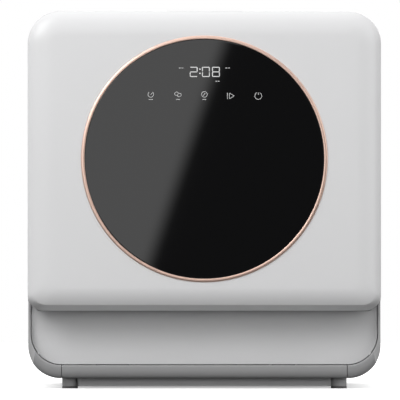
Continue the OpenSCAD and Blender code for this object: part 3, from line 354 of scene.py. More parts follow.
def wall_faces(rows, cols, keep, wrap):
    """Faces of a wall whose outer grid comes first and inner grid second, with a rim wherever kept cells end."""
    index = np.arange(rows * cols).reshape(rows, cols)
    near = index if wrap else index[:-1]
    far = np.roll(index, -1, axis=0) if wrap else index[1:]
    cells = np.stack([near[:, :-1], far[:, :-1], far[:, 1:], near[:, 1:]], axis=-1)
    inner = rows * cols
    faces = [cells[keep], cells[keep][:, ::-1] + inner]
    side = np.zeros((keep.shape[0], 1), bool)
    if wrap:
        before, after = np.roll(keep, 1, axis=0), np.roll(keep, -1, axis=0)
    else:
        gap = np.zeros((1, keep.shape[1]), bool)
        before, after = np.vstack([gap, keep[:-1]]), np.vstack([keep[1:], gap])
    neighbours = [np.hstack([side, keep[:, :-1]]), after, np.hstack([keep[:, 1:], side]), before]
    for edge, other in enumerate(neighbours):
        cut = cells[keep & ~other]
        p, q = cut[:, edge], cut[:, (edge + 1) % 4]
        faces.append(np.stack([q, p, p + inner, q + inner], axis=-1))
    return faces


def walled(outer, inner, keep=None, wrap=True):
    """Shape (points, faces) of a wall between two grids of points, where its cells are kept."""
    rows, cols = outer.shape[:2]
    if keep is None:
        keep = np.ones((rows, cols - 1), bool)
    return np.concatenate([outer.reshape(-1, 3), inner.reshape(-1, 3)]), wall_faces(rows, cols, keep, wrap)


def row(flat, y):
    """Points (x, y, z) of an outline (x, z) at a depth, one for all its points or one for each."""
    return np.column_stack([flat[:, 0], np.broadcast_to(y, len(flat)), flat[:, 1]])


def middles(grid):
    """Middle of each cell of a grid whose rows run round a loop."""
    mid = (grid + np.roll(grid, -1, axis=0)) / 2
    return (mid[:, :-1] + mid[:, 1:]) / 2


def at_hinges(mid):
    """Tells which cells lie beside a hinge bracket, where the door's skin and lining are notched."""
    x = np.abs(mid[..., 0])
    return (x > 183.8 * MM) & (x < 197.2 * MM)


def rounded_loop(half, low, high, r_top, r_low, side, top, bottom, turn):
    """Points (x, z) anticlockwise round a rectangle whose corners are arcs.

    The straight runs are sampled at the fractions side, top and bottom, and each corner at turn of 90 degrees.
    """
    back = np.concatenate([[0], 1 - side[:0:-1]])

    def run(p, q, share):
        return np.array(p) + (np.array(q) - np.array(p)) * share[:, None]

    def corner(cx, cz, r, start):
        a = start + turn * np.pi / 2
        return np.stack([cx + r * np.cos(a), cz + r * np.sin(a)], axis=1)

    return np.concatenate([
        run((-half + r_low, low), (half - r_low, low), bottom),
        corner(half - r_low, low + r_low, r_low, -np.pi / 2),
        run((half, low + r_low), (half, high - r_top), side),
        corner(half - r_top, high - r_top, r_top, 0),
        run((half - r_top, high), (-half + r_top, high), top),
        corner(-half + r_top, high - r_top, r_top, np.pi / 2),
        run((-half, high - r_top), (-half, low + r_low), back),
        corner(-half + r_low, low + r_low, r_low, np.pi)])


def shares(count):
    """Even fractions from 0 up to, but without, 1."""
    return np.linspace(0, 1, count, endpoint=False)


def ease(value):
    """Smooth step of a value from 0 to 1."""
    value = np.clip(value, 0, 1)
    return value * value * (3 - 2 * value)


def spun(profile, centre, steps, axis="y"):
    """Turns a closed profile (radius, along) about an axis: p = centre + r (cos a, sin a) + along."""
    a = shares(steps) * 2 * np.pi
    r, along = profile[:, 0], profile[:, 1]
    u, v = np.outer(np.cos(a), r), np.outer(np.sin(a), r)
    w = np.broadcast_to(along, u.shape)
    grid = {"y": (u, w, v), "z": (u, v, w), "x": (w, u, v)}[axis]
    points = np.stack(grid, axis=-1) + np.array(centre)
    index = np.arange(points[..., 0].size).reshape(points.shape[:2])
    far, side = np.roll(index, -1, axis=0), np.roll(index, -1, axis=1)
    faces = np.stack([index, far, np.roll(far, -1, axis=1), side], axis=-1).reshape(-1, 4)
    return points.reshape(-1, 3), [faces]


def carried(profile, across):
    """Carries a closed (y, z) profile along x to the places across, and caps both ends."""
    count = len(profile)
    points = np.concatenate([np.column_stack([np.full(count, x), profile]) for x in across])
    index = np.arange(len(points)).reshape(len(across), count)
    side = np.roll(index, -1, axis=1)
    faces = np.stack([index[:-1], index[1:], side[1:], side[:-1]], axis=-1).reshape(-1, 4)
    return points, [faces, index[:1, ::-1], index[-1:]]


def tubes(segments, radius, sides=12, dome=3):
    """Round bars with domed ends: rings of radius R cos b stand on each axis, past each end by R sin b."""
    segments = np.asarray(segments, float)
    start, way = segments[:, 0], segments[:, 1] - segments[:, 0]
    length = np.linalg.norm(way, axis=1, keepdims=True)
    way = way / length
    other = np.where(np.abs(way[:, 2:]) > 0.9, [[1.0, 0, 0]], [[0, 0, 1.0]])
    u = np.cross(way, other)
    u /= np.linalg.norm(u, axis=1, keepdims=True)
    v = np.cross(way, u)
    b = np.linspace(0, np.pi / 2, dome + 1)
    r = radius * np.concatenate([np.cos(b)[::-1], np.cos(b)])
    along = np.concatenate([-radius * np.sin(b)[::-1] * 0.5, radius * np.sin(b) * 0.5])
    last = np.concatenate([np.zeros(dome + 1), np.ones(dome + 1)])
    a = shares(sides) * 2 * np.pi
    ring = (u[:, None, None] * np.cos(a)[None, None, :, None] + v[:, None, None] * np.sin(a)[None, None, :, None])
    spine = (start[:, None] + way[:, None] * (along[None, :, None] + last[None, :, None] * length[:, None]))
    points = spine[:, :, None] + ring * r[None, :, None, None]
    index = np.arange(points[..., 0].size).reshape(points.shape[:3])
    side = np.roll(index, -1, axis=2)
    faces = np.stack([index[:, :-1], side[:, :-1], side[:, 1:], index[:, 1:]], axis=-1).reshape(-1, 4)
    return points.reshape(-1, 3), [faces]


def path_tube(path, radius, sides=12, closed=False):
    """Tube along a path: each ring stands across the mean of the two stretches that meet there."""
    path = np.asarray(path, float)
    if closed:
        way = np.roll(path, -1, axis=0) - np.roll(path, 1, axis=0)
    else:
        way = np.gradient(path, axis=0)
    way /= np.linalg.norm(way, axis=1, keepdims=True)
    other = np.where(np.abs(way[:, 2:]) > 0.95, [[0, 1.0, 0]], [[0, 0, 1.0]])
    u = np.cross(way, other)
    u /= np.linalg.norm(u, axis=1, keepdims=True)
    v = np.cross(way, u)
    a = shares(sides) * 2 * np.pi
    radius = np.broadcast_to(np.asarray(radius, float), len(path))
    points = path[:, None] + (u[:, None] * np.cos(a)[None, :, None]
                              + v[:, None] * np.sin(a)[None, :, None]) * radius[:, None, None]
    index = np.arange(points[..., 0].size).reshape(points.shape[:2])
    side = np.roll(index, -1, axis=1)
    if closed:
        near, far, nside, fside = index, np.roll(index, -1, 0), side, np.roll(side, -1, 0)
    else:
        near, far, nside, fside = index[:-1], index[1:], side[:-1], side[1:]
    faces = [np.stack([near, far, fside, nside], axis=-1).reshape(-1, 4)]
    if not closed:
        faces += [index[:1], index[-1:, ::-1]]
    return points.reshape(-1, 3), faces


def joined(shapes):
    """Puts several (points, faces) shapes into one."""
    points, faces, offset = [], [], 0
    for shape_points, shape_faces in shapes:
        points.append(shape_points)
        faces += [np.asarray(block) + offset for block in shape_faces]
        offset += len(shape_points)
    return np.concatenate(points), faces


def softened(node, slot, width=0.6 * MM, angle=30, segments=2, body=None):
    """Stands for a solid with a merged copy of its own mesh whose edges are rounded by width."""
    source = frame["nodes"][node]
    mesh = source.data.copy()
    work = bmesh.new()
    work.from_mesh(mesh)
    bmesh.ops.remove_doubles(work, verts=work.verts, dist=2e-6)
    bmesh.ops.dissolve_limit(work, angle_limit=math.radians(1), verts=work.verts, edges=work.edges)
    work.to_mesh(mesh)
    work.free()
    body = body or next(name for name, nodes in frame["record"]["behaviour"]["bodies"].items() if node in nodes)
    thing = hand_over(node + "_soft", mesh, body, slot, (node,), angle)
    bevel = thing.modifiers.new("soft_edges", "BEVEL")
    bevel.width, bevel.segments = width, segments
    bevel.limit_method, bevel.angle_limit = "ANGLE", math.radians(angle)
    bevel.harden_normals = True
    return thing


# ---- the stage ----

def aim(thing, target):
    thing.rotation_euler = (Vector(target) - thing.location).to_track_quat("-Z", "Y").to_euler()


def area_light(name, place, target, size, power, colour=(1, 1, 1)):
    data = bpy.data.lights.new(name, "AREA")
    data.shape, data.size, data.size_y = "RECTANGLE", size[0], size[1]
    data.energy, data.color = power, colour
    lamp = bpy.data.objects.new(name, data)
    bpy.context.scene.collection.objects.link(lamp)
    lamp.location = place
    aim(lamp, target)
    return lamp


def light_path(tree, output):
    return tree.nodes.new("ShaderNodeLightPath").outputs[output]


class DISHWASHER_OT_stage(bpy.types.Operator):
    """Sets the floor, the lights, the reflector behind the camera and the camera"""
    bl_idname = "dishwasher.stage"
    bl_label = "Stage"

    def execute(self, context):
        scene = context.scene
        scene.view_settings.view_transform = "Standard"
        front, middle = cad_low[1], (cad_low[2] + cad_high[2]) / 2
        lens, picture_width = 1000.0, 0.4756
        distance = picture_width / 2 / math.tan(math.atan(18 / lens))
        eye = (-5.2 * MM, front + 20 * MM - distance, 0.2242)
        data = bpy.data.cameras.new("camera")
        data.lens, data.clip_end = lens, 80
        camera = bpy.data.objects.new("camera", data)
        scene.collection.objects.link(camera)
        camera.location, camera.rotation_euler = eye, (math.pi / 2, 0, 0)
        scene.camera = camera

        world = bpy.data.worlds.new("studio")
        scene.world = world
        world.use_nodes = True
        tree = world.node_tree
        back = tree.nodes["Background"]
        back.inputs["Color"].default_value = (1, 1, 1, 1)
        seen = maths(tree, "MAXIMUM", light_path(tree, "Is Camera Ray"), light_path(tree, "Is Transmission Ray"))
        horizon, zenith, mirrored = 1.32, 0.72, 0.74
        split = tree.nodes.new("ShaderNodeSeparateXYZ")
        tree.links.new(tree.nodes.new("ShaderNodeTexCoord").outputs["Generated"], split.inputs[0])
        ambient = maths(tree, "ADD", maths(tree, "MULTIPLY", split.outputs["Z"], zenith - horizon), horizon)
        glossy = light_path(tree, "Is Glossy Ray")
        scattered = maths(tree, "SUBTRACT", 1.0, maths(tree, "MAXIMUM", seen, glossy))
        lit = maths(tree, "ADD", seen, maths(tree, "MULTIPLY", glossy, mirrored))
        lit = maths(tree, "ADD", lit, maths(tree, "MULTIPLY", ambient, scattered))
        tree.links.new(lit, back.inputs["Strength"])

        aim_at = (0, 0, middle)
        area_light("key_left", (-1.5, -1.7, 1.5), aim_at, (1.3, 1.3), 27.0)
        area_light("fill_right", (1.7, -1.6, 0.7), aim_at, (1.1, 1.4), 7.3)
        area_light("top_soft", (0, -0.5, 1.9), aim_at, (1.8, 1.2), 4.2)
        area_light("back_soft", (0.6, 2.0, 1.3), aim_at, (1.6, 1.2), 16.0)

        # floor
        size = 4.0
        points = np.array([[-size, -size, 0], [size, -size, 0], [size, size, 0], [-size, size, 0]])
        mesh = bpy.data.meshes.new("floor")
        mesh.from_pydata(points.tolist(), [], [[0, 1, 2, 3]])
        floor = bpy.data.objects.new("floor", mesh)
        scene.collection.objects.link(floor)
        material, tree, shader, place = start_material("floor_white")
        bounce = 0.12
        tree.links.new(maths(tree, "ADD", maths(tree, "MULTIPLY", light_path(tree, "Is Camera Ray"), 0.9 - bounce),
                             bounce), shader.inputs["Base Color"])
        shader.inputs["Roughness"].default_value = 0.9
        shader.inputs["Specular IOR Level"].default_value = 0.0
        shader.inputs["Emission Color"].default_value = (1, 1, 1, 1)
        tree.links.new(maths(tree, "MULTIPLY", light_path(tree, "Is Camera Ray"), 0.5),
                       shader.inputs["Emission Strength"])
        mesh.materials.append(material)

        # reflector behind the camera that only glossy rays see: bright left of a slanting soft edge
        y, reach = eye[1] - 1.0, 6.3
        factor = (front - y) / (front - eye[1])
        edge_top, edge_low = (24.5 * MM, 410.9 * MM), (-64.7 * MM, 149.3 * MM)
        ends = [np.array(p) + (np.array(p) - np.array([eye[0], eye[2]])) * factor for p in (edge_top, edge_low)]
        way = (ends[0] - ends[1]) / np.linalg.norm(ends[0] - ends[1])
        across = np.array([way[1], -way[0]])
        centre = ends[1]
        corners = [(eye[0] + sx * reach, y, eye[2] + sz * reach) for sx, sz in ((-1, -1), (1, -1), (1, 1), (-1, 1))]
        mesh = bpy.data.meshes.new("reflector")
        mesh.from_pydata(corners, [], [[3, 2, 1, 0]])
        card = bpy.data.objects.new("reflector", mesh)
        scene.collection.objects.link(card)
        material = bpy.data.materials.new("reflector_light")
        material.use_nodes = True
        tree = material.node_tree
        tree.nodes.clear()
        place = tree.nodes.new("ShaderNodeTexCoord").outputs["Object"]
        split = tree.nodes.new("ShaderNodeSeparateXYZ")
        tree.links.new(place, split.inputs[0])
        offset = maths(tree, "ADD", maths(tree, "MULTIPLY", split.outputs["X"], float(across[0])),
                       maths(tree, "MULTIPLY", split.outputs["Z"], float(across[1])))
        offset = maths(tree, "SUBTRACT", offset, float(centre @ across))
        fall = tree.nodes.new("ShaderNodeMapRange")
        fall.interpolation_type = "SMOOTHSTEP"
        tree.links.new(offset, fall.inputs["Value"])
        for key, value in {"From Min": -0.028, "From Max": 0.022, "To Min": 1.78, "To Max": 0.08}.items():
            fall.inputs[key].default_value = value
        glow = tree.nodes.new("ShaderNodeEmission")
        tree.links.new(fall.outputs[0], glow.inputs["Strength"])
        clear = tree.nodes.new("ShaderNodeBsdfTransparent")
        mix = tree.nodes.new("ShaderNodeMixShader")
        tree.links.new(light_path(tree, "Is Glossy Ray"), mix.inputs[0])
        tree.links.new(clear.outputs[0], mix.inputs[1])
        tree.links.new(glow.outputs[0], mix.inputs[2])
        out = tree.nodes.new("ShaderNodeOutputMaterial")
        tree.links.new(mix.outputs[0], out.inputs["Surface"])
        mesh.materials.append(material)
        return {"FINISHED"}


class DISHWASHER_OT_finishes(bpy.types.Operator):
    """Makes the finishes and paints every solid with its own"""
    bl_idname = "dishwasher.finishes"
    bl_label = "Finishes"

    def execute(self, context):
        FINISHES.update(make_finishes(context.scene.dishwasher_paints))
        for name, strength in (("symbols", 0.16), ("symbols_dim", 0.02)):
            material, tree, shader, place = start_material(name + "_light")
            tone = use_group(tree, "tone_drift", color=(*context.scene.dishwasher_paints.symbols, 1), spread=0.1,
                             scale=400.0)
            tree.links.new(place, tone.inputs["Vector"])
            tree.links.new(tone.outputs["Color"], shader.inputs["Base Color"])
            tree.links.new(tone.outputs["Color"], shader.inputs["Emission Color"])
            shader.inputs["Emission Strength"].default_value = strength
            shader.inputs["Roughness"].default_value = 0.6
            FINISHES[name] = material
        return {"FINISHED"}


# ---- casing and base ----

def lip_line(z):
    """Depth of the casing's foremost edge at a height: the door's swing needs it to fall back in an oval."""
    lip_y, nose_y = -161 * MM, FACE_Y
    top, low = 80 * MM, 30 * MM
    fall = np.clip((top - z) / (top - low), 0, 1)
    oval = lip_y + (nose_y - lip_y) * (1 - np.sqrt(1 - fall ** 2))
    upper = -168 * MM + (lip_y + 168 * MM) * np.clip((107 * MM - z) / (4 * MM), 0, 1)
    return np.where(z > 103 * MM, upper, oval)


class DISHWASHER_OT_casing(bpy.types.Operator):
    """Makes the outer casing with the band that runs into the nose"""
    bl_idname = "dishwasher.casing"
    bl_label = "Outer casing"

    def execute(self, context):
        half, low, high, rear = casing_high[0], casing_low[2], casing_high[2], 205.5 * MM
        wall, radius = 3 * MM, 39 * MM
        seam = 170 * MM
        lid = dict(x=(76.5 * MM, 143.5 * MM), y=(152.5 * MM, 201 * MM))
        reach = half - radius
        top = np.array([0, (reach - lid["x"][1]) / 2 / reach, (reach - lid["x"][0]) / 2 / reach, 0.5, 0.75])
        heights = np.concatenate([np.linspace(51.5, 80, 10), [84, 90, 96, 103, 107, 111], np.linspace(140, 380, 7)])
        side = (heights * MM - low - radius) / (high - low - 2 * radius)
        side[0] = 0
        turn = shares(24)

        def outline(inset, foot, foot_radius):
            """Outline of the casing inset by a wall all round but at its foot, with samples on the seams."""
            cut = max((half - inset - foot_radius - seam) / 2 / (half - inset - foot_radius), 0)
            bottom = np.array([0, cut, 0.25, 0.5, 0.75, 1 - cut])
            return rounded_loop(half - inset, low + foot, high - inset, radius - inset, foot_radius,
                                side, top, bottom, turn)

        outer = outline(0, 0, radius)
        thin = outline(wall, wall, radius - wall)
        recess = outline(wall, context.scene.dishwasher_base.nose_height, 37 * MM)
        width = np.linalg.norm(outer - recess, axis=1)
        ridge = lip_line(outer[:, 1])
        # across the front edge: over a small rounding, then down a quarter oval to the outside
        rim = np.minimum(0.8 * MM, width * 0.3)
        fall = 1 - np.clip(width / (15.5 * MM), 0, 1)
        depth = np.where(outer[:, 1] < 104 * MM, 7.75 * MM * np.sqrt(1 - fall ** 2), 0.8 * MM)

        across = outer - recess
        outer_rows = [row(recess, ridge + rim)]
        outer_rows += [row(recess + across * (rim * (1 - math.cos(a)) / width)[:, None],
                           ridge + rim * (1 - math.sin(a))) for a in (0.5, 1.0)]
        outer_rows += [row(recess + across * ((rim + (width - rim) * math.sin(a)) / width)[:, None],
                           ridge + depth * (1 - math.cos(a))) for a in np.linspace(0, np.pi / 2, 10)]
        front = len(outer_rows)
        back_y = np.array([-150, -60, 60, 152.5, 201, 204.9]) * MM
        outer_rows += [row(outer, y) for y in back_y]
        outer_rows.append(row(outline(0.6 * MM, 0.6 * MM, radius - 0.6 * MM), rear))
        # the inner wall follows the recess as far as the concave panel, then thins out
        start = ridge + rim
        inner_rows = [row(recess, start + (np.maximum(start, -154 * MM) - start) * n / (front - 1))
                      for n in range(front)]
        inner_rows += [row(thin, y) for y in (*back_y, rear)]
        grid_out, grid_in = np.stack(outer_rows, axis=1), np.stack(inner_rows, axis=1)
        mid = middles(grid_out)
        open_floor = (np.abs(mid[..., 0]) < seam) & (mid[..., 2] < 33 * MM) & (mid[..., 1] < 201 * MM)
        hole = ((mid[..., 2] > high - 1 * MM) & (mid[..., 0] > lid["x"][0]) & (mid[..., 0] < lid["x"][1])
                & (mid[..., 1] > lid["y"][0]) & (mid[..., 1] < lid["y"][1]))
        put("casing_skin", *walled(grid_out, grid_in, ~open_floor & ~hole), "casing", "casing_grey",
            ("outer_casing",), sharp=40)
        return {"FINISHED"}


class DISHWASHER_OT_base(bpy.types.Operator):
    """Makes the nose bar, the concave panel, the plinth and the feet"""
    bl_idname = "dishwasher.base"
    bl_label = "Base"

    def execute(self, context):
        sizes = context.scene.dishwasher_base
        low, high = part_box("base_bar")
        top, bottom = 28 * MM, low[2]
        nose_y, front = -208.25 * MM, FACE_Y
        rim = 1.2 * MM
        fall = top - rim - bottom
        a = np.linspace(0, np.pi / 2, 14)
        soft = np.linspace(0, np.pi / 2, 5)[1:-1]
        oval = np.column_stack([nose_y + (front - nose_y) * np.cos(a), top - rim - fall * np.sin(a)])
        edge = np.column_stack([front + rim * 0.8 * (1 - np.sin(soft)), top - rim * 0.8 * (1 - np.cos(soft))])
        profile = np.concatenate([
            [[nose_y, top], [front + rim * 0.8, top]], edge, oval,
            [[nose_y + 4 * MM, bottom], [nose_y + 4 * MM, bottom + 2.8 * MM],
             [nose_y + 6 * MM, bottom + 2.8 * MM], [nose_y + 6 * MM, top - 2.2 * MM], [nose_y, top - 2.2 * MM]]])
        ends = 0.4 * MM
        gap = 0.45 * MM
        across = np.array([low[0] + gap, low[0] + gap + ends, 0, high[0] - gap - ends, high[0] - gap])
        points, faces = carried(profile, across)
        put("nose_bar", points, faces, "casing", "bar_silver", ("base_bar",), sharp=40)

        # concave panel: height and depth follow a quarter oval, and the sides turn forward in a fillet
        wide, r_in = 206.2 * MM, 36.2 * MM
        x = np.concatenate([np.linspace(-wide, -wide + 12 * MM, 15), np.linspace(-wide + 14 * MM, -168 * MM, 10)])
        x = np.concatenate([x, [-120 * MM, -60 * MM, 0]])
        x = np.unique(np.concatenate([x, -x]))
        reach, drop, cove_y, top_z = 50.25 * MM, 52 * MM, -158 * MM, 80 * MM
        side = np.clip(np.abs(x) - (wide - r_in), 0, r_in)
        end_z = 28.9 * MM + r_in - np.sqrt(r_in ** 2 - side ** 2)
        end = np.arcsin(np.clip((top_z - end_z) / drop, 0, 1))
        t = np.linspace(0, 1, 40)
        angle = end[:, None] * t
        y = cove_y - reach * (1 - np.cos(angle))
        z = top_z - drop * np.sin(angle)
        upper = np.linspace(110 * MM, top_z, 6)[:-1]
        y = np.hstack([np.full((len(x), 5), cove_y), y])
        z = np.hstack([np.broadcast_to(upper, (len(x), 5)), z])
        near = np.clip((np.abs(x) - (wide - sizes.cove_fillet)) / sizes.cove_fillet, 0, 1)
        y = y - 2.4 * MM * (1 - np.sqrt(1 - near ** 2))[:, None]
        front_face = np.stack([np.broadcast_to(x[:, None], y.shape), y, z], axis=-1)
        back_face = front_face + np.array([0, 1.8 * MM, 0])
        mid_x = np.abs((x[:-1] + x[1:]) / 2)[:, None]
        mid_z = ((z[:-1] + z[1:]) / 2)[:, :-1]
        # gaps that the hinge brackets pass through
        gap = (mid_x > 182.6 * MM) & (mid_x < 198.4 * MM) & (mid_z > 92.5 * MM)
        put("cove_panel", *walled(front_face, back_face, ~gap, False), "casing", "toe_silver",
            ("toe_panel",), sharp=40)
        softened("base_tray", "base_grey", 0.8 * MM)
        # skirt round the plinth that closes it up to the feet: a thin wall round a rectangle, rounded at its foot
        heights = np.array([12.4, 11.0, 4.2, 3.4, 2.9, 2.6]) * MM
        insets = np.array([0, 0, 0, 0.2, 0.5, 0.9]) * MM
        grids = []
        for wall in (0, 2.4 * MM):
            loops = [rounded_loop(151 * MM - inset - wall, -191.9 * MM + inset + wall, 191.9 * MM - inset - wall,
                                  4 * MM, 4 * MM, shares(4), shares(4), shares(4), shares(6)) for inset in insets]
            grids.append(np.stack([np.column_stack([loop, np.full(len(loop), z)])
                                   for loop, z in zip(loops, heights)], axis=1))
        put("plinth_skirt", *walled(*grids), "casing", "base_grey", sharp=40)
        # feet: a post turned about the upright through each pad, with a small rounding at its foot
        r, low_z, soft_r = 9.4 * MM, 2.6 * MM, 0.6 * MM
        turn = np.linspace(0, np.pi / 2, 5)
        rounding = np.column_stack([r - soft_r * (1 - np.sin(turn)), low_z + soft_r * (1 - np.cos(turn))])
        post = np.concatenate([[[0, 12.5 * MM], [0, low_z]], rounding, [[r, 12.5 * MM]]])
        posts = [spun(post, (x * MM, y * MM, 0), 64, "z") for x in (-160, 160) for y in (-178, 178)]
        put("foot_posts", *joined(posts), "casing", "foot_grey", ("feet",), sharp=40)
        softened("foot_pads", "pad_rubber", 0.4 * MM)
        return {"FINISHED"}


# ---- door ----

class DISHWASHER_OT_door(bpy.types.Operator):
    """Makes the door's pillow-shaped shell with its finger grip, and its pressed inner panel"""
    bl_idname = "dishwasher.door"
    bl_label = "Door"

    def shell(self, sizes, shrink):
        """Grid of the shell's outside, or of its inside when shrunk: rows round the outline, columns inwards."""
        half, low, high = door_high[0] - shrink, door_low[2] + shrink, door_high[2] - shrink
        face, back = FACE_Y + shrink, -171 * MM
        width, fall = sizes.pillow_width, sizes.pillow_depth
        r_top, r_low = sizes.top_radius - shrink, sizes.low_radius - shrink
        grip_half, grip_y = 46 * MM + shrink, (-204 * MM - shrink, -185 * MM + shrink)
        dense = np.linspace(-50, 50, 101) * MM
        reach = door_high[0] - sizes.top_radius
        top = np.concatenate([np.linspace(0, (reach - 50 * MM) / 2 / reach, 8)[:-1], (reach + dense) / 2 / reach,
                              np.linspace((reach + 50 * MM) / 2 / reach, 1, 8)[1:-1]])
        side, turn = shares(24), shares(18)
        notch = 6.8 * MM / 2 / (door_high[0] - sizes.low_radius)
        bottom = np.array([0, notch, *np.linspace(0.05, 0.95, 21), 1 - notch])

        def outline(inset):
            soft = inset / width
            return rounded_loop(half - inset, low + inset, high - inset, r_top - inset,
                                r_low + (8 * MM - r_low) * soft, side, top, bottom, turn)

        outer = outline(0)
        counts = [len(bottom), len(turn), len(side), len(turn), len(top), len(turn), len(side), len(turn)]
        marks = np.cumsum([0] + counts)
        weight = np.zeros(len(outer))
        weight[:marks[1]] = 1
        weight[marks[1]:marks[2]] = ease(1 - turn)
        weight[marks[7]:marks[8]] = ease(turn)
        # inwards distance and depth along the pillow, and along the undercut and the turn above it
        a = np.linspace(np.pi / 2, 0, 25)
        pillow = np.column_stack([width * (1 - np.sin(a)), fall * (1 - np.cos(a))])
        turn_r, turn_depth, crease = 40 * MM, 6 * MM, 7 * MM
        turn_end = math.acos(1 - turn_depth / turn_r)
        b = np.linspace(turn_end, 0, 16)
        rise = turn_r * math.sin(turn_end)
        under = np.column_stack([np.linspace(0, crease, 10)[:-1],
                                 np.linspace(26 * MM, turn_depth, 10)[:-1]])
        arc = np.column_stack([crease + rise - turn_r * np.sin(b), turn_r * (1 - np.cos(b))])
        foot = np.concatenate([under, arc])
        columns = []
        edge = fall + (26 * MM - fall) * weight
        for share in np.linspace(0, 1, 32, endpoint=False):
            y = back + (face + edge - back) * share
            columns.append(row(outer, y))
        for number in range(25):
            inset = (1 - weight) * pillow[number, 0] + weight * foot[number, 0]
            depth = (1 - weight) * pillow[number, 1] + weight * foot[number, 1]
            levels = np.unique(np.round(inset, 7))
            flat = np.empty_like(outer)
            for level in levels:
                pick = np.round(inset, 7) == level
                flat[pick] = outline(level)[pick]
            columns.append(row(flat, face + depth))
        inner = columns[-1]
        centre = np.array([0, (ring_low[2] + ring_high[2]) / 2])
        bore = (glass_high[0] - glass_low[0]) / 2 + 2.55 * MM
        way = inner[:, [0, 2]] - centre
        circle = centre + bore * way / np.linalg.norm(way, axis=1, keepdims=True)
        for share in (0.33, 0.66, 1.0):
            flat = inner[:, [0, 2]] * (1 - share) + circle * share
            columns.append(row(flat, face))
        grid = np.stack(columns, axis=1)
        # finger grip: the upper edge is pressed down where x and y are both inside it
        x, y, z = grid[..., 0], grid[..., 1], grid[..., 2]
        soft = 1.6 * MM
        inside = ease((grip_half - np.abs(x)) / soft) * ease((y - grip_y[0]) / soft) * ease((grip_y[1] - y) / soft)
        grid[..., 2] = np.where(z > high - 6 * MM, z - sizes.grip_depth * inside, z)
        return grid

    def execute(self, context):
        sizes = context.scene.dishwasher_door
        outer, inner = self.shell(sizes, 0), self.shell(sizes, sizes.wall)
        mid = middles(outer)
        notch = at_hinges(mid) & (mid[..., 1] > -181.5 * MM) & (mid[..., 2] < 110 * MM)
        put("door_skin", *walled(outer, inner, ~notch), "door", "door_grey", ("door_shell",), sharp=28)

        # inner panel: its field is pressed in, away from the tub, and it keeps its level round the dispenser
        half, low, high = panel_high[0], panel_low[2], panel_high[2]
        side, turn = shares(30), shares(10)
        slot = 6.2 * MM / 2 / (half - 38 * MM)
        top = np.array([*np.linspace(0, 0.45, 12), 0.5 - slot, 0.5, 0.5 + slot, *np.linspace(0.55, 0.96, 12)])
        hole = (-90.2 * MM, 60.2 * MM, 189.8 * MM, 270.2 * MM)

        def loop(inset):
            return rounded_loop(half - inset, low + inset, high - inset, max(38 * MM - inset, 6 * MM),
                                max(18 * MM - inset, 6 * MM), side, top, top, turn)

        outer = loop(0)
        centre = np.array([(hole[0] + hole[1]) / 2, (hole[2] + hole[3]) / 2])
        way = outer - centre
        far = np.maximum(np.abs(way), 1e-9)
        hole_x = np.where(way[:, 0] > 0, hole[1] - centre[0], centre[0] - hole[0])
        scale = np.minimum(hole_x / far[:, 0], (hole[3] - centre[1]) / far[:, 1])
        opening = centre + way * scale[:, None]
        for corner in ((x, z) for x in hole[:2] for z in hole[2:]):
            opening[np.argmin(np.linalg.norm(opening - corner, axis=1))] = corner
        columns = [row(outer, -178 * MM)]
        for a in np.linspace(0, np.pi / 2, 6):
            flat = loop(1.5 * MM * (1 - math.cos(a)))
            columns.append(row(flat, -171.5 * MM + 1.5 * MM * math.sin(a)))
        start = loop(26 * MM)
        for inset in np.array([3.9, 7.9, 10, 12, 14, 16.5, 19, 21.5, 24, 26]) * MM:
            columns.append(row(loop(inset), -170 * MM))
        for share in np.linspace(0, 1, 60)[1:]:
            flat = start * (1 - share) + opening * share
            from_edge = np.linalg.norm(start - flat, axis=1)
            from_hole = np.linalg.norm(opening - flat, axis=1)
            press = ease((from_edge - 6 * MM) / (5 * MM)) * ease((from_hole - 12 * MM) / (5 * MM))
            columns.append(row(flat, -170 * MM - 2.2 * MM * press))
        grid = np.stack(columns, axis=1)
        back = grid.copy()
        back[..., 1] -= 1.4 * MM
        inset = loop(1.4 * MM)
        back[:, 0, 0], back[:, 0, 2], back[:, 0, 1] = inset[:, 0], inset[:, 1], grid[:, 0, 1]
        for number in range(1, 7):
            flat = loop(1.4 * MM + 1.5 * MM * (1 - math.cos((number - 1) / 5 * math.pi / 2)) * 0.3)
            back[:, number, 0], back[:, number, 2] = flat[:, 0], flat[:, 1]
        mid = middles(grid)
        notch = at_hinges(mid) & (mid[..., 2] < 110 * MM)
        notch |= (np.abs(mid[..., 0]) < 6.2 * MM) & (mid[..., 2] > 438.5 * MM) & (mid[..., 2] < 442.5 * MM)
        put("door_lining", *walled(grid, back, ~notch), "door", "panel_steel", ("door_inner_panel",), sharp=35)
        for node, slot in (("detergent_dispenser", "dispenser_plastic"), ("detergent_lid", "dispenser_plastic"),
                           ("rinse_cap", "cap_blue"), ("door_hinge_plates", "hinge_steel"),
                           ("latch_tongue", "hinge_steel")):
            softened(node, slot, 0.5 * MM)
        return {"FINISHED"}


# ---- dial ----

def bar(start, end, width, y, thick):
    """Flat bar with round ends between two points (x, z): its outline stands width / 2 off the line."""
    start, end = np.array(start, float), np.array(end, float)
    way = end - start
    heading = math.atan2(way[1], way[0])
    a = np.linspace(-np.pi / 2, np.pi / 2, 7)
    tip = end + width / 2 * np.column_stack([np.cos(heading + a), np.sin(heading + a)])
    tail = start - width / 2 * np.column_stack([np.cos(heading + a), np.sin(heading + a)])
    return plate(np.concatenate([tip, tail]), y, thick)


def plate(outline, y, thick):
    """Flat plate of an outline (x, z) from depth y to y + thick."""
    count = len(outline)
    points = np.concatenate([row(outline, depth) for depth in (y, y + thick)])
    index = np.arange(count)
    nxt = np.roll(index, -1)
    return points, [index[None], (index[::-1] + count)[None],
                    np.column_stack([nxt, index, index + count, nxt + count])]


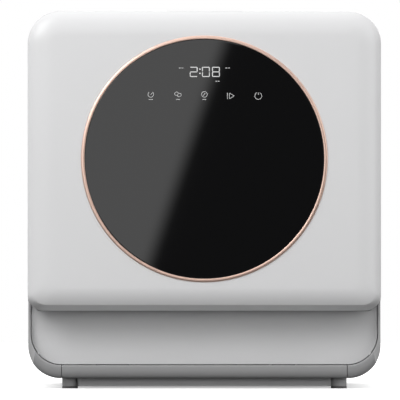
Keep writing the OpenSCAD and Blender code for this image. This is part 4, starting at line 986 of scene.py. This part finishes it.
def band(centre, radii, width, y, thick, start=0.0, end=2 * math.pi, tilt=0.0, steps=40):
    """Curved flat band round an ellipse, open between end and start."""
    full = abs(end - start) > 2 * math.pi - 1e-6
    a = np.linspace(start, end, steps + 1)
    if full:
        a = a[:-1]
    shape = []
    for grow in (width / 2, -width / 2):
        u, v = (radii[0] + grow) * np.cos(a), (radii[1] + grow) * np.sin(a)
        shape.append(np.column_stack([centre[0] + u * math.cos(tilt) - v * math.sin(tilt),
                                      centre[1] + u * math.sin(tilt) + v * math.cos(tilt)]))
    if not full:
        return plate(np.concatenate([shape[0], shape[1][::-1]]), y, thick)
    count = len(a)
    points = np.concatenate([row(edge, depth) for depth in (y, y + thick) for edge in shape])
    i = np.arange(count)
    n = np.roll(i, -1)
    quads = [(0, 1), (2, 0), (1, 3), (3, 2)]
    return points, [np.column_stack([i + p * count, n + p * count, n + q * count, i + q * count]) for p, q in quads]


DIGIT_BARS = {"0": "abcdef", "2": "abged", "8": "abcdefg"}


def digit(figure, x, z, wide, tall, stroke, y, thick):
    """Seven-bar figure with its lower left corner at (x, z)."""
    gap = stroke * 0.5
    left, right, low, high, mid = x, x + wide, z, z + tall, z + tall / 2
    cut = stroke * 0.5
    bars = {"a": ((left + cut, high), (right - cut, high)), "d": ((left + cut, low), (right - cut, low)),
            "g": ((left + cut, mid), (right - cut, mid)), "b": ((right, high - cut), (right, mid + cut + gap)),
            "c": ((right, mid - cut - gap), (right, low + cut)), "e": ((left, mid - cut - gap), (left, low + cut)),
            "f": ((left, high - cut), (left, mid + cut + gap))}
    return [bar(*bars[name], stroke, y, thick) for name in DIGIT_BARS[figure]]


class DISHWASHER_OT_dial(bpy.types.Operator):
    """Makes the metal ring, the black glass and what shows through it"""
    bl_idname = "dishwasher.dial"
    bl_label = "Dial"

    def execute(self, context):
        sizes = context.scene.dishwasher_dial
        centre_z = (ring_low[2] + ring_high[2]) / 2
        outer, front, back = ring_high[0], ring_low[1], ring_high[1]
        inner = outer - sizes.ring_width
        soft = 0.5 * MM
        a = np.linspace(0, np.pi / 2, 6)
        profile = np.concatenate([
            [[inner, back], [inner, front + soft]],
            np.column_stack([inner + soft * (1 - np.cos(a)), front + soft * (1 - np.sin(a))])[1:],
            np.column_stack([outer - 1.4 * MM + 1.4 * MM * np.sin(a), front + 1.4 * MM * (1 - np.cos(a))]),
            [[outer, FACE_Y], [inner + 2.3 * MM, FACE_Y], [inner + 2.3 * MM, back]]])
        points, faces = spun(profile, (0, 0, centre_z), 240)
        put("ring_trim", points, faces, "door", "ring_metal", ("trim_ring",), sharp=40)

        radius, low, high = glass_high[0], glass_low[1], glass_high[1]
        soft = 0.6 * MM
        edge = np.column_stack([radius - soft * (1 - np.sin(a)), low + soft * (1 - np.cos(a))])
        profile = np.concatenate([[[0, low], [radius - soft - 0.6 * MM, low]], edge, [[radius, high], [0, high]]])
        points, faces = spun(profile, (0, 0, centre_z), 240)
        put("glass_disc", points, faces, "door", "dial_glass", ("glass_panel",), sharp=50)

        thick = 0.12 * MM
        y = low - 0.1 * MM
        tall, stroke = sizes.digit_height - 2.0 * MM, 1.0 * MM
        wide = 8.2 * MM
        digits = []
        for figure, x in (("2", -16.8), ("0", -2.3), ("8", 9.6)):
            digits += digit(figure, x * MM, 370.8 * MM, wide, tall, stroke, y, thick)
        for z in (374.6, 379.6):
            digits.append(band((-5.3 * MM, z * MM), (0.45 * MM, 0.45 * MM), 0.85 * MM, y, thick, steps=12))
        put("clock_digits", *joined(digits), "door", "dial_glass", material=FINISHES["symbols"])

        r, line = sizes.icon_radius, 0.55 * MM
        level, lower = 349.6 * MM, 347.8 * MM
        xs = [x * MM for x in (-63.6, -31.4, 0.0, 31.8, 64.0)]
        shapes = [band((xs[0], level), (r, r), line, y, thick, math.radians(-235), math.radians(55)),
                  bar((xs[0], level), (xs[0] + r * 0.5, level + r * 0.5), line, y, thick)]
        for dx, dz, tilt in ((-1.7, 0.9, 0.4), (1.7, -0.7, 0.4)):
            shapes.append(band((xs[1] + dx * MM, level + dz * MM), (2.3 * MM, 1.9 * MM), line, y, thick, tilt=tilt))
        shapes += [band((xs[2], level), (r, r), line, y, thick),
                   bar((xs[2] - r * 0.35, level - r * 0.4), (xs[2] + r * 0.4, level + r * 0.35), line, y, thick),
                   bar((xs[2] - r * 0.1, level + r * 0.4), (xs[2] + r * 0.4, level + r * 0.35), line, y, thick)]
        left, right, up = xs[3] - 2.2 * MM, xs[3] + 3.7 * MM, 3.5 * MM
        play = [(left, lower - up), (left, lower + up), (right, lower)]
        shapes += [bar(play[i], play[(i + 1) % 3], line, y, thick) for i in range(3)]
        shapes.append(bar((left - 2.3 * MM, lower - up), (left - 2.3 * MM, lower + up), line, y, thick))
        shapes += [band((xs[4], lower), (4.1 * MM, 4.1 * MM), line, y, thick, math.radians(-250), math.radians(70)),
                   bar((xs[4], lower + 1.4 * MM), (xs[4], lower + 3.7 * MM), line, y, thick)]
        # plain dashes where small words would stand
        for x, z, reach in ((xs[0], 343.6, 2.4), (xs[1], 343.6, 2.1), (xs[2], 343.6, 2.1),
                            (-27.6 * MM, 380.9, 2.6), (27.6 * MM, 380.9, 2.6), (15.6 * MM, 365.2, 2.3)):
            for part in (-0.5, 0.5):
                shapes.append(bar((x + (part * 1.15 - 0.36) * reach * MM, z * MM),
                                  (x + (part * 1.15 + 0.36) * reach * MM, z * MM), 0.7 * MM, y, thick))
        put("touch_symbols", *joined(shapes), "door", "dial_glass", material=FINISHES["symbols_dim"])
        return {"FINISHED"}


# ---- wash space ----

def rack_lines():
    """Centre lines of the basket's wires, worked out as the solids' are."""
    half, front, back, out = 158.4, -146.0, 130.0, 1.6
    floor_z, rim_z, cross_z = 145.5, 240.5, 142.9
    step_x, step_y = half / 6, (back - front) / 10
    floor = [((i * step_x, front, floor_z), (i * step_x, back, floor_z)) for i in range(-6, 7)]
    floor += [((-half - out, front + j * step_y, cross_z), (half + out, front + j * step_y, cross_z))
              for j in range(11)]
    walls = [((i * step_x, y, cross_z), (i * step_x, y, rim_z)) for i in range(-6, 7, 2) for y in (front, back)]
    walls += [((s * (half + out), front + j * step_y, cross_z), (s * (half + out), front + j * step_y, rim_z))
              for j in range(1, 10, 2) for s in (-1, 1)]
    tines = [((i * step_x, -118 + j * step_y, floor_z), (i * step_x, -118 + j * step_y, floor_z + 61))
             for i in (-5, -2) for j in range(9)]
    return (np.array(part) * MM for part in (floor, walls, tines))


def ring_path(half, front, back, z, radius, steps=8):
    """Closed path round a rectangle with round corners, at one height."""
    loop = rounded_loop(half, front, back, radius, radius, shares(4), shares(4), shares(4), shares(steps))
    return np.column_stack([loop, np.full(len(loop), z)])


class DISHWASHER_OT_basket(bpy.types.Operator):
    """Makes the wire basket with its folding tines, its rollers and the cutlery basket"""
    bl_idname = "dishwasher.basket"
    bl_label = "Basket"

    def execute(self, context):
        wire = 1.7 * MM
        floor, walls, tines = rack_lines()
        stubs = []
        for s in (-1, 1):
            for y in (-105, 95):
                # collar, axle and end disc of a roller's stub
                for near, far, radius, sides, dome in ((160, 168.2, 4, 20, 3), (160, 174.8, 1.95, 16, 3),
                                                       (174.7, 175.2, 3.2, 16, 1)):
                    line = [(s * x * MM, y * MM, 136.6 * MM) for x in (near, far)]
                    stubs.append(tubes([line], radius * MM, sides, dome))
                stubs.append(path_tube([(s * 160.2 * MM, y * MM, z * MM) for z in (132.8, 134, 140, 144.6)],
                                       np.array([3.2, 4.2, 3.4, 2.4]) * MM, 14))
        for y in (-76, 124):
            stubs.append(path_tube([(30 * MM, (y - 3) * MM, 151.6 * MM), (30 * MM, (y + 3) * MM, 151.6 * MM)],
                                   4.2 * MM, 20))
        put("basket_floor", *tubes(floor, wire), "rack", "rack_wire", ("rack_floor",), sharp=50)
        rings = [path_tube(ring_path(161.6 * MM, -148.3 * MM, 132.3 * MM, z * MM, 9 * MM), wire, 12, True)
                 for z in (193, 240.5)]
        put("basket_walls", *joined([tubes(walls, wire)] + rings), "rack", "rack_wire", ("rack_sides",), sharp=50)
        put("basket_tines", *joined([tubes(tines, wire)] + stubs), "rack", "rack_wire", ("rack_fittings",),
            sharp=50)
        fold = [((30, -60 + i * 24, 152), (30, -60 + i * 24, 211)) for i in range(8)]
        fold.append(((30, -81.2, 152), (30, 128.2, 152)))
        put("folding_tines", *tubes(np.array(fold) * MM, wire), "tines", "rack_wire", ("fold_tines",), sharp=50)
        softened("cutlery_basket", "basket_plastic", 0.7 * MM)
        for node in ("roller_front_left", "roller_front_right", "roller_rear_left", "roller_rear_right"):
            softened(node, "roller_plastic", 0.6 * MM)
        return {"FINISHED"}


class DISHWASHER_OT_inside(bpy.types.Operator):
    """Softens the tub, the spray arms, the filter, the seal and the other pieces of the wash space"""
    bl_idname = "dishwasher.inside"
    bl_label = "Wash space"

    def execute(self, context):
        for node, slot, width in (
                ("tub", "tub_steel", 1.0), ("rack_rails", "rail_steel", 0.5), ("tub_lamp", "lamp_lens", 0.6),
                ("coarse_filter", "filter_steel", 0.3), ("filter_cup", "filter_plastic", 0.5),
                ("feed_manifold", "sump_plastic", 0.5), ("lower_spray_arm", "arm_plastic", 1.6),
                ("upper_spray_arm", "arm_plastic", 1.6), ("upper_feed_duct", "arm_plastic", 1.2),
                ("arm_nuts", "nut_plastic", 0.8), ("door_gasket", "seal_rubber", 0.6),
                ("hinge_brackets", "hinge_steel", 0.4), ("hinge_pins", "hinge_steel", 0.4),
                ("door_lock", "port_plastic", 0.6), ("latch_pawl", "roller_plastic", 0.4)):
            softened(node, slot, width * MM)
        return {"FINISHED"}


class DISHWASHER_OT_rear(bpy.types.Operator):
    """Softens the rear panel, the connections and the filling lid"""
    bl_idname = "dishwasher.rear"
    bl_label = "Rear and top"

    def execute(self, context):
        for node, slot, width in (
                ("rear_panel", "rear_sheet", 0.5), ("rear_screws", "screw_steel", 0.4),
                ("inlet_valve", "valve_plastic", 0.6), ("drain_outlet", "port_plastic", 0.6),
                ("cord_gland", "port_plastic", 0.6), ("fill_lid", "lid_plastic", 0.8),
                ("water_tank", "tank_plastic", 1.2), ("fan_housing", "fan_plastic", 0.6)):
            softened(node, slot, width * MM)
        return {"FINISHED"}


class DISHWASHER_PT_pieces(bpy.types.Panel):
    """Lists the pieces of the dishwasher"""
    bl_label = "Dishwasher"
    bl_space_type = "VIEW_3D"
    bl_region_type = "UI"
    bl_category = "Dishwasher"

    def draw(self, context):
        for step in STEPS:
            self.layout.operator(step.bl_idname)
        for name in GROUPS_OF_SETTINGS:
            box = self.layout.box()
            settings = getattr(context.scene, name)
            for key in settings.__annotations__:
                box.prop(settings, key)


STEPS = (DISHWASHER_OT_stage, DISHWASHER_OT_finishes, DISHWASHER_OT_casing, DISHWASHER_OT_base,
         DISHWASHER_OT_door, DISHWASHER_OT_dial, DISHWASHER_OT_basket, DISHWASHER_OT_inside,
         DISHWASHER_OT_rear)
GROUPS_OF_SETTINGS = {"dishwasher_door": DoorSizes, "dishwasher_dial": DialSizes,
                      "dishwasher_base": BaseSizes, "dishwasher_paints": Paints}


def register():
    for group in (*GROUPS_OF_SETTINGS.values(), *STEPS, DISHWASHER_PT_pieces):
        bpy.utils.register_class(group)
    for name, group in GROUPS_OF_SETTINGS.items():
        setattr(bpy.types.Scene, name, bpy.props.PointerProperty(type=group))


def unregister():
    for name in GROUPS_OF_SETTINGS:
        delattr(bpy.types.Scene, name)
    for group in reversed((*GROUPS_OF_SETTINGS.values(), *STEPS, DISHWASHER_PT_pieces)):
        bpy.utils.unregister_class(group)


def main():
    register()
    for step in STEPS:
        area, name = step.bl_idname.split(".")
        if getattr(getattr(bpy.ops, area), name)() != {"FINISHED"}:
            raise RuntimeError(step.bl_label + " wasn't finished")


if __name__ == "__main__":
    main()
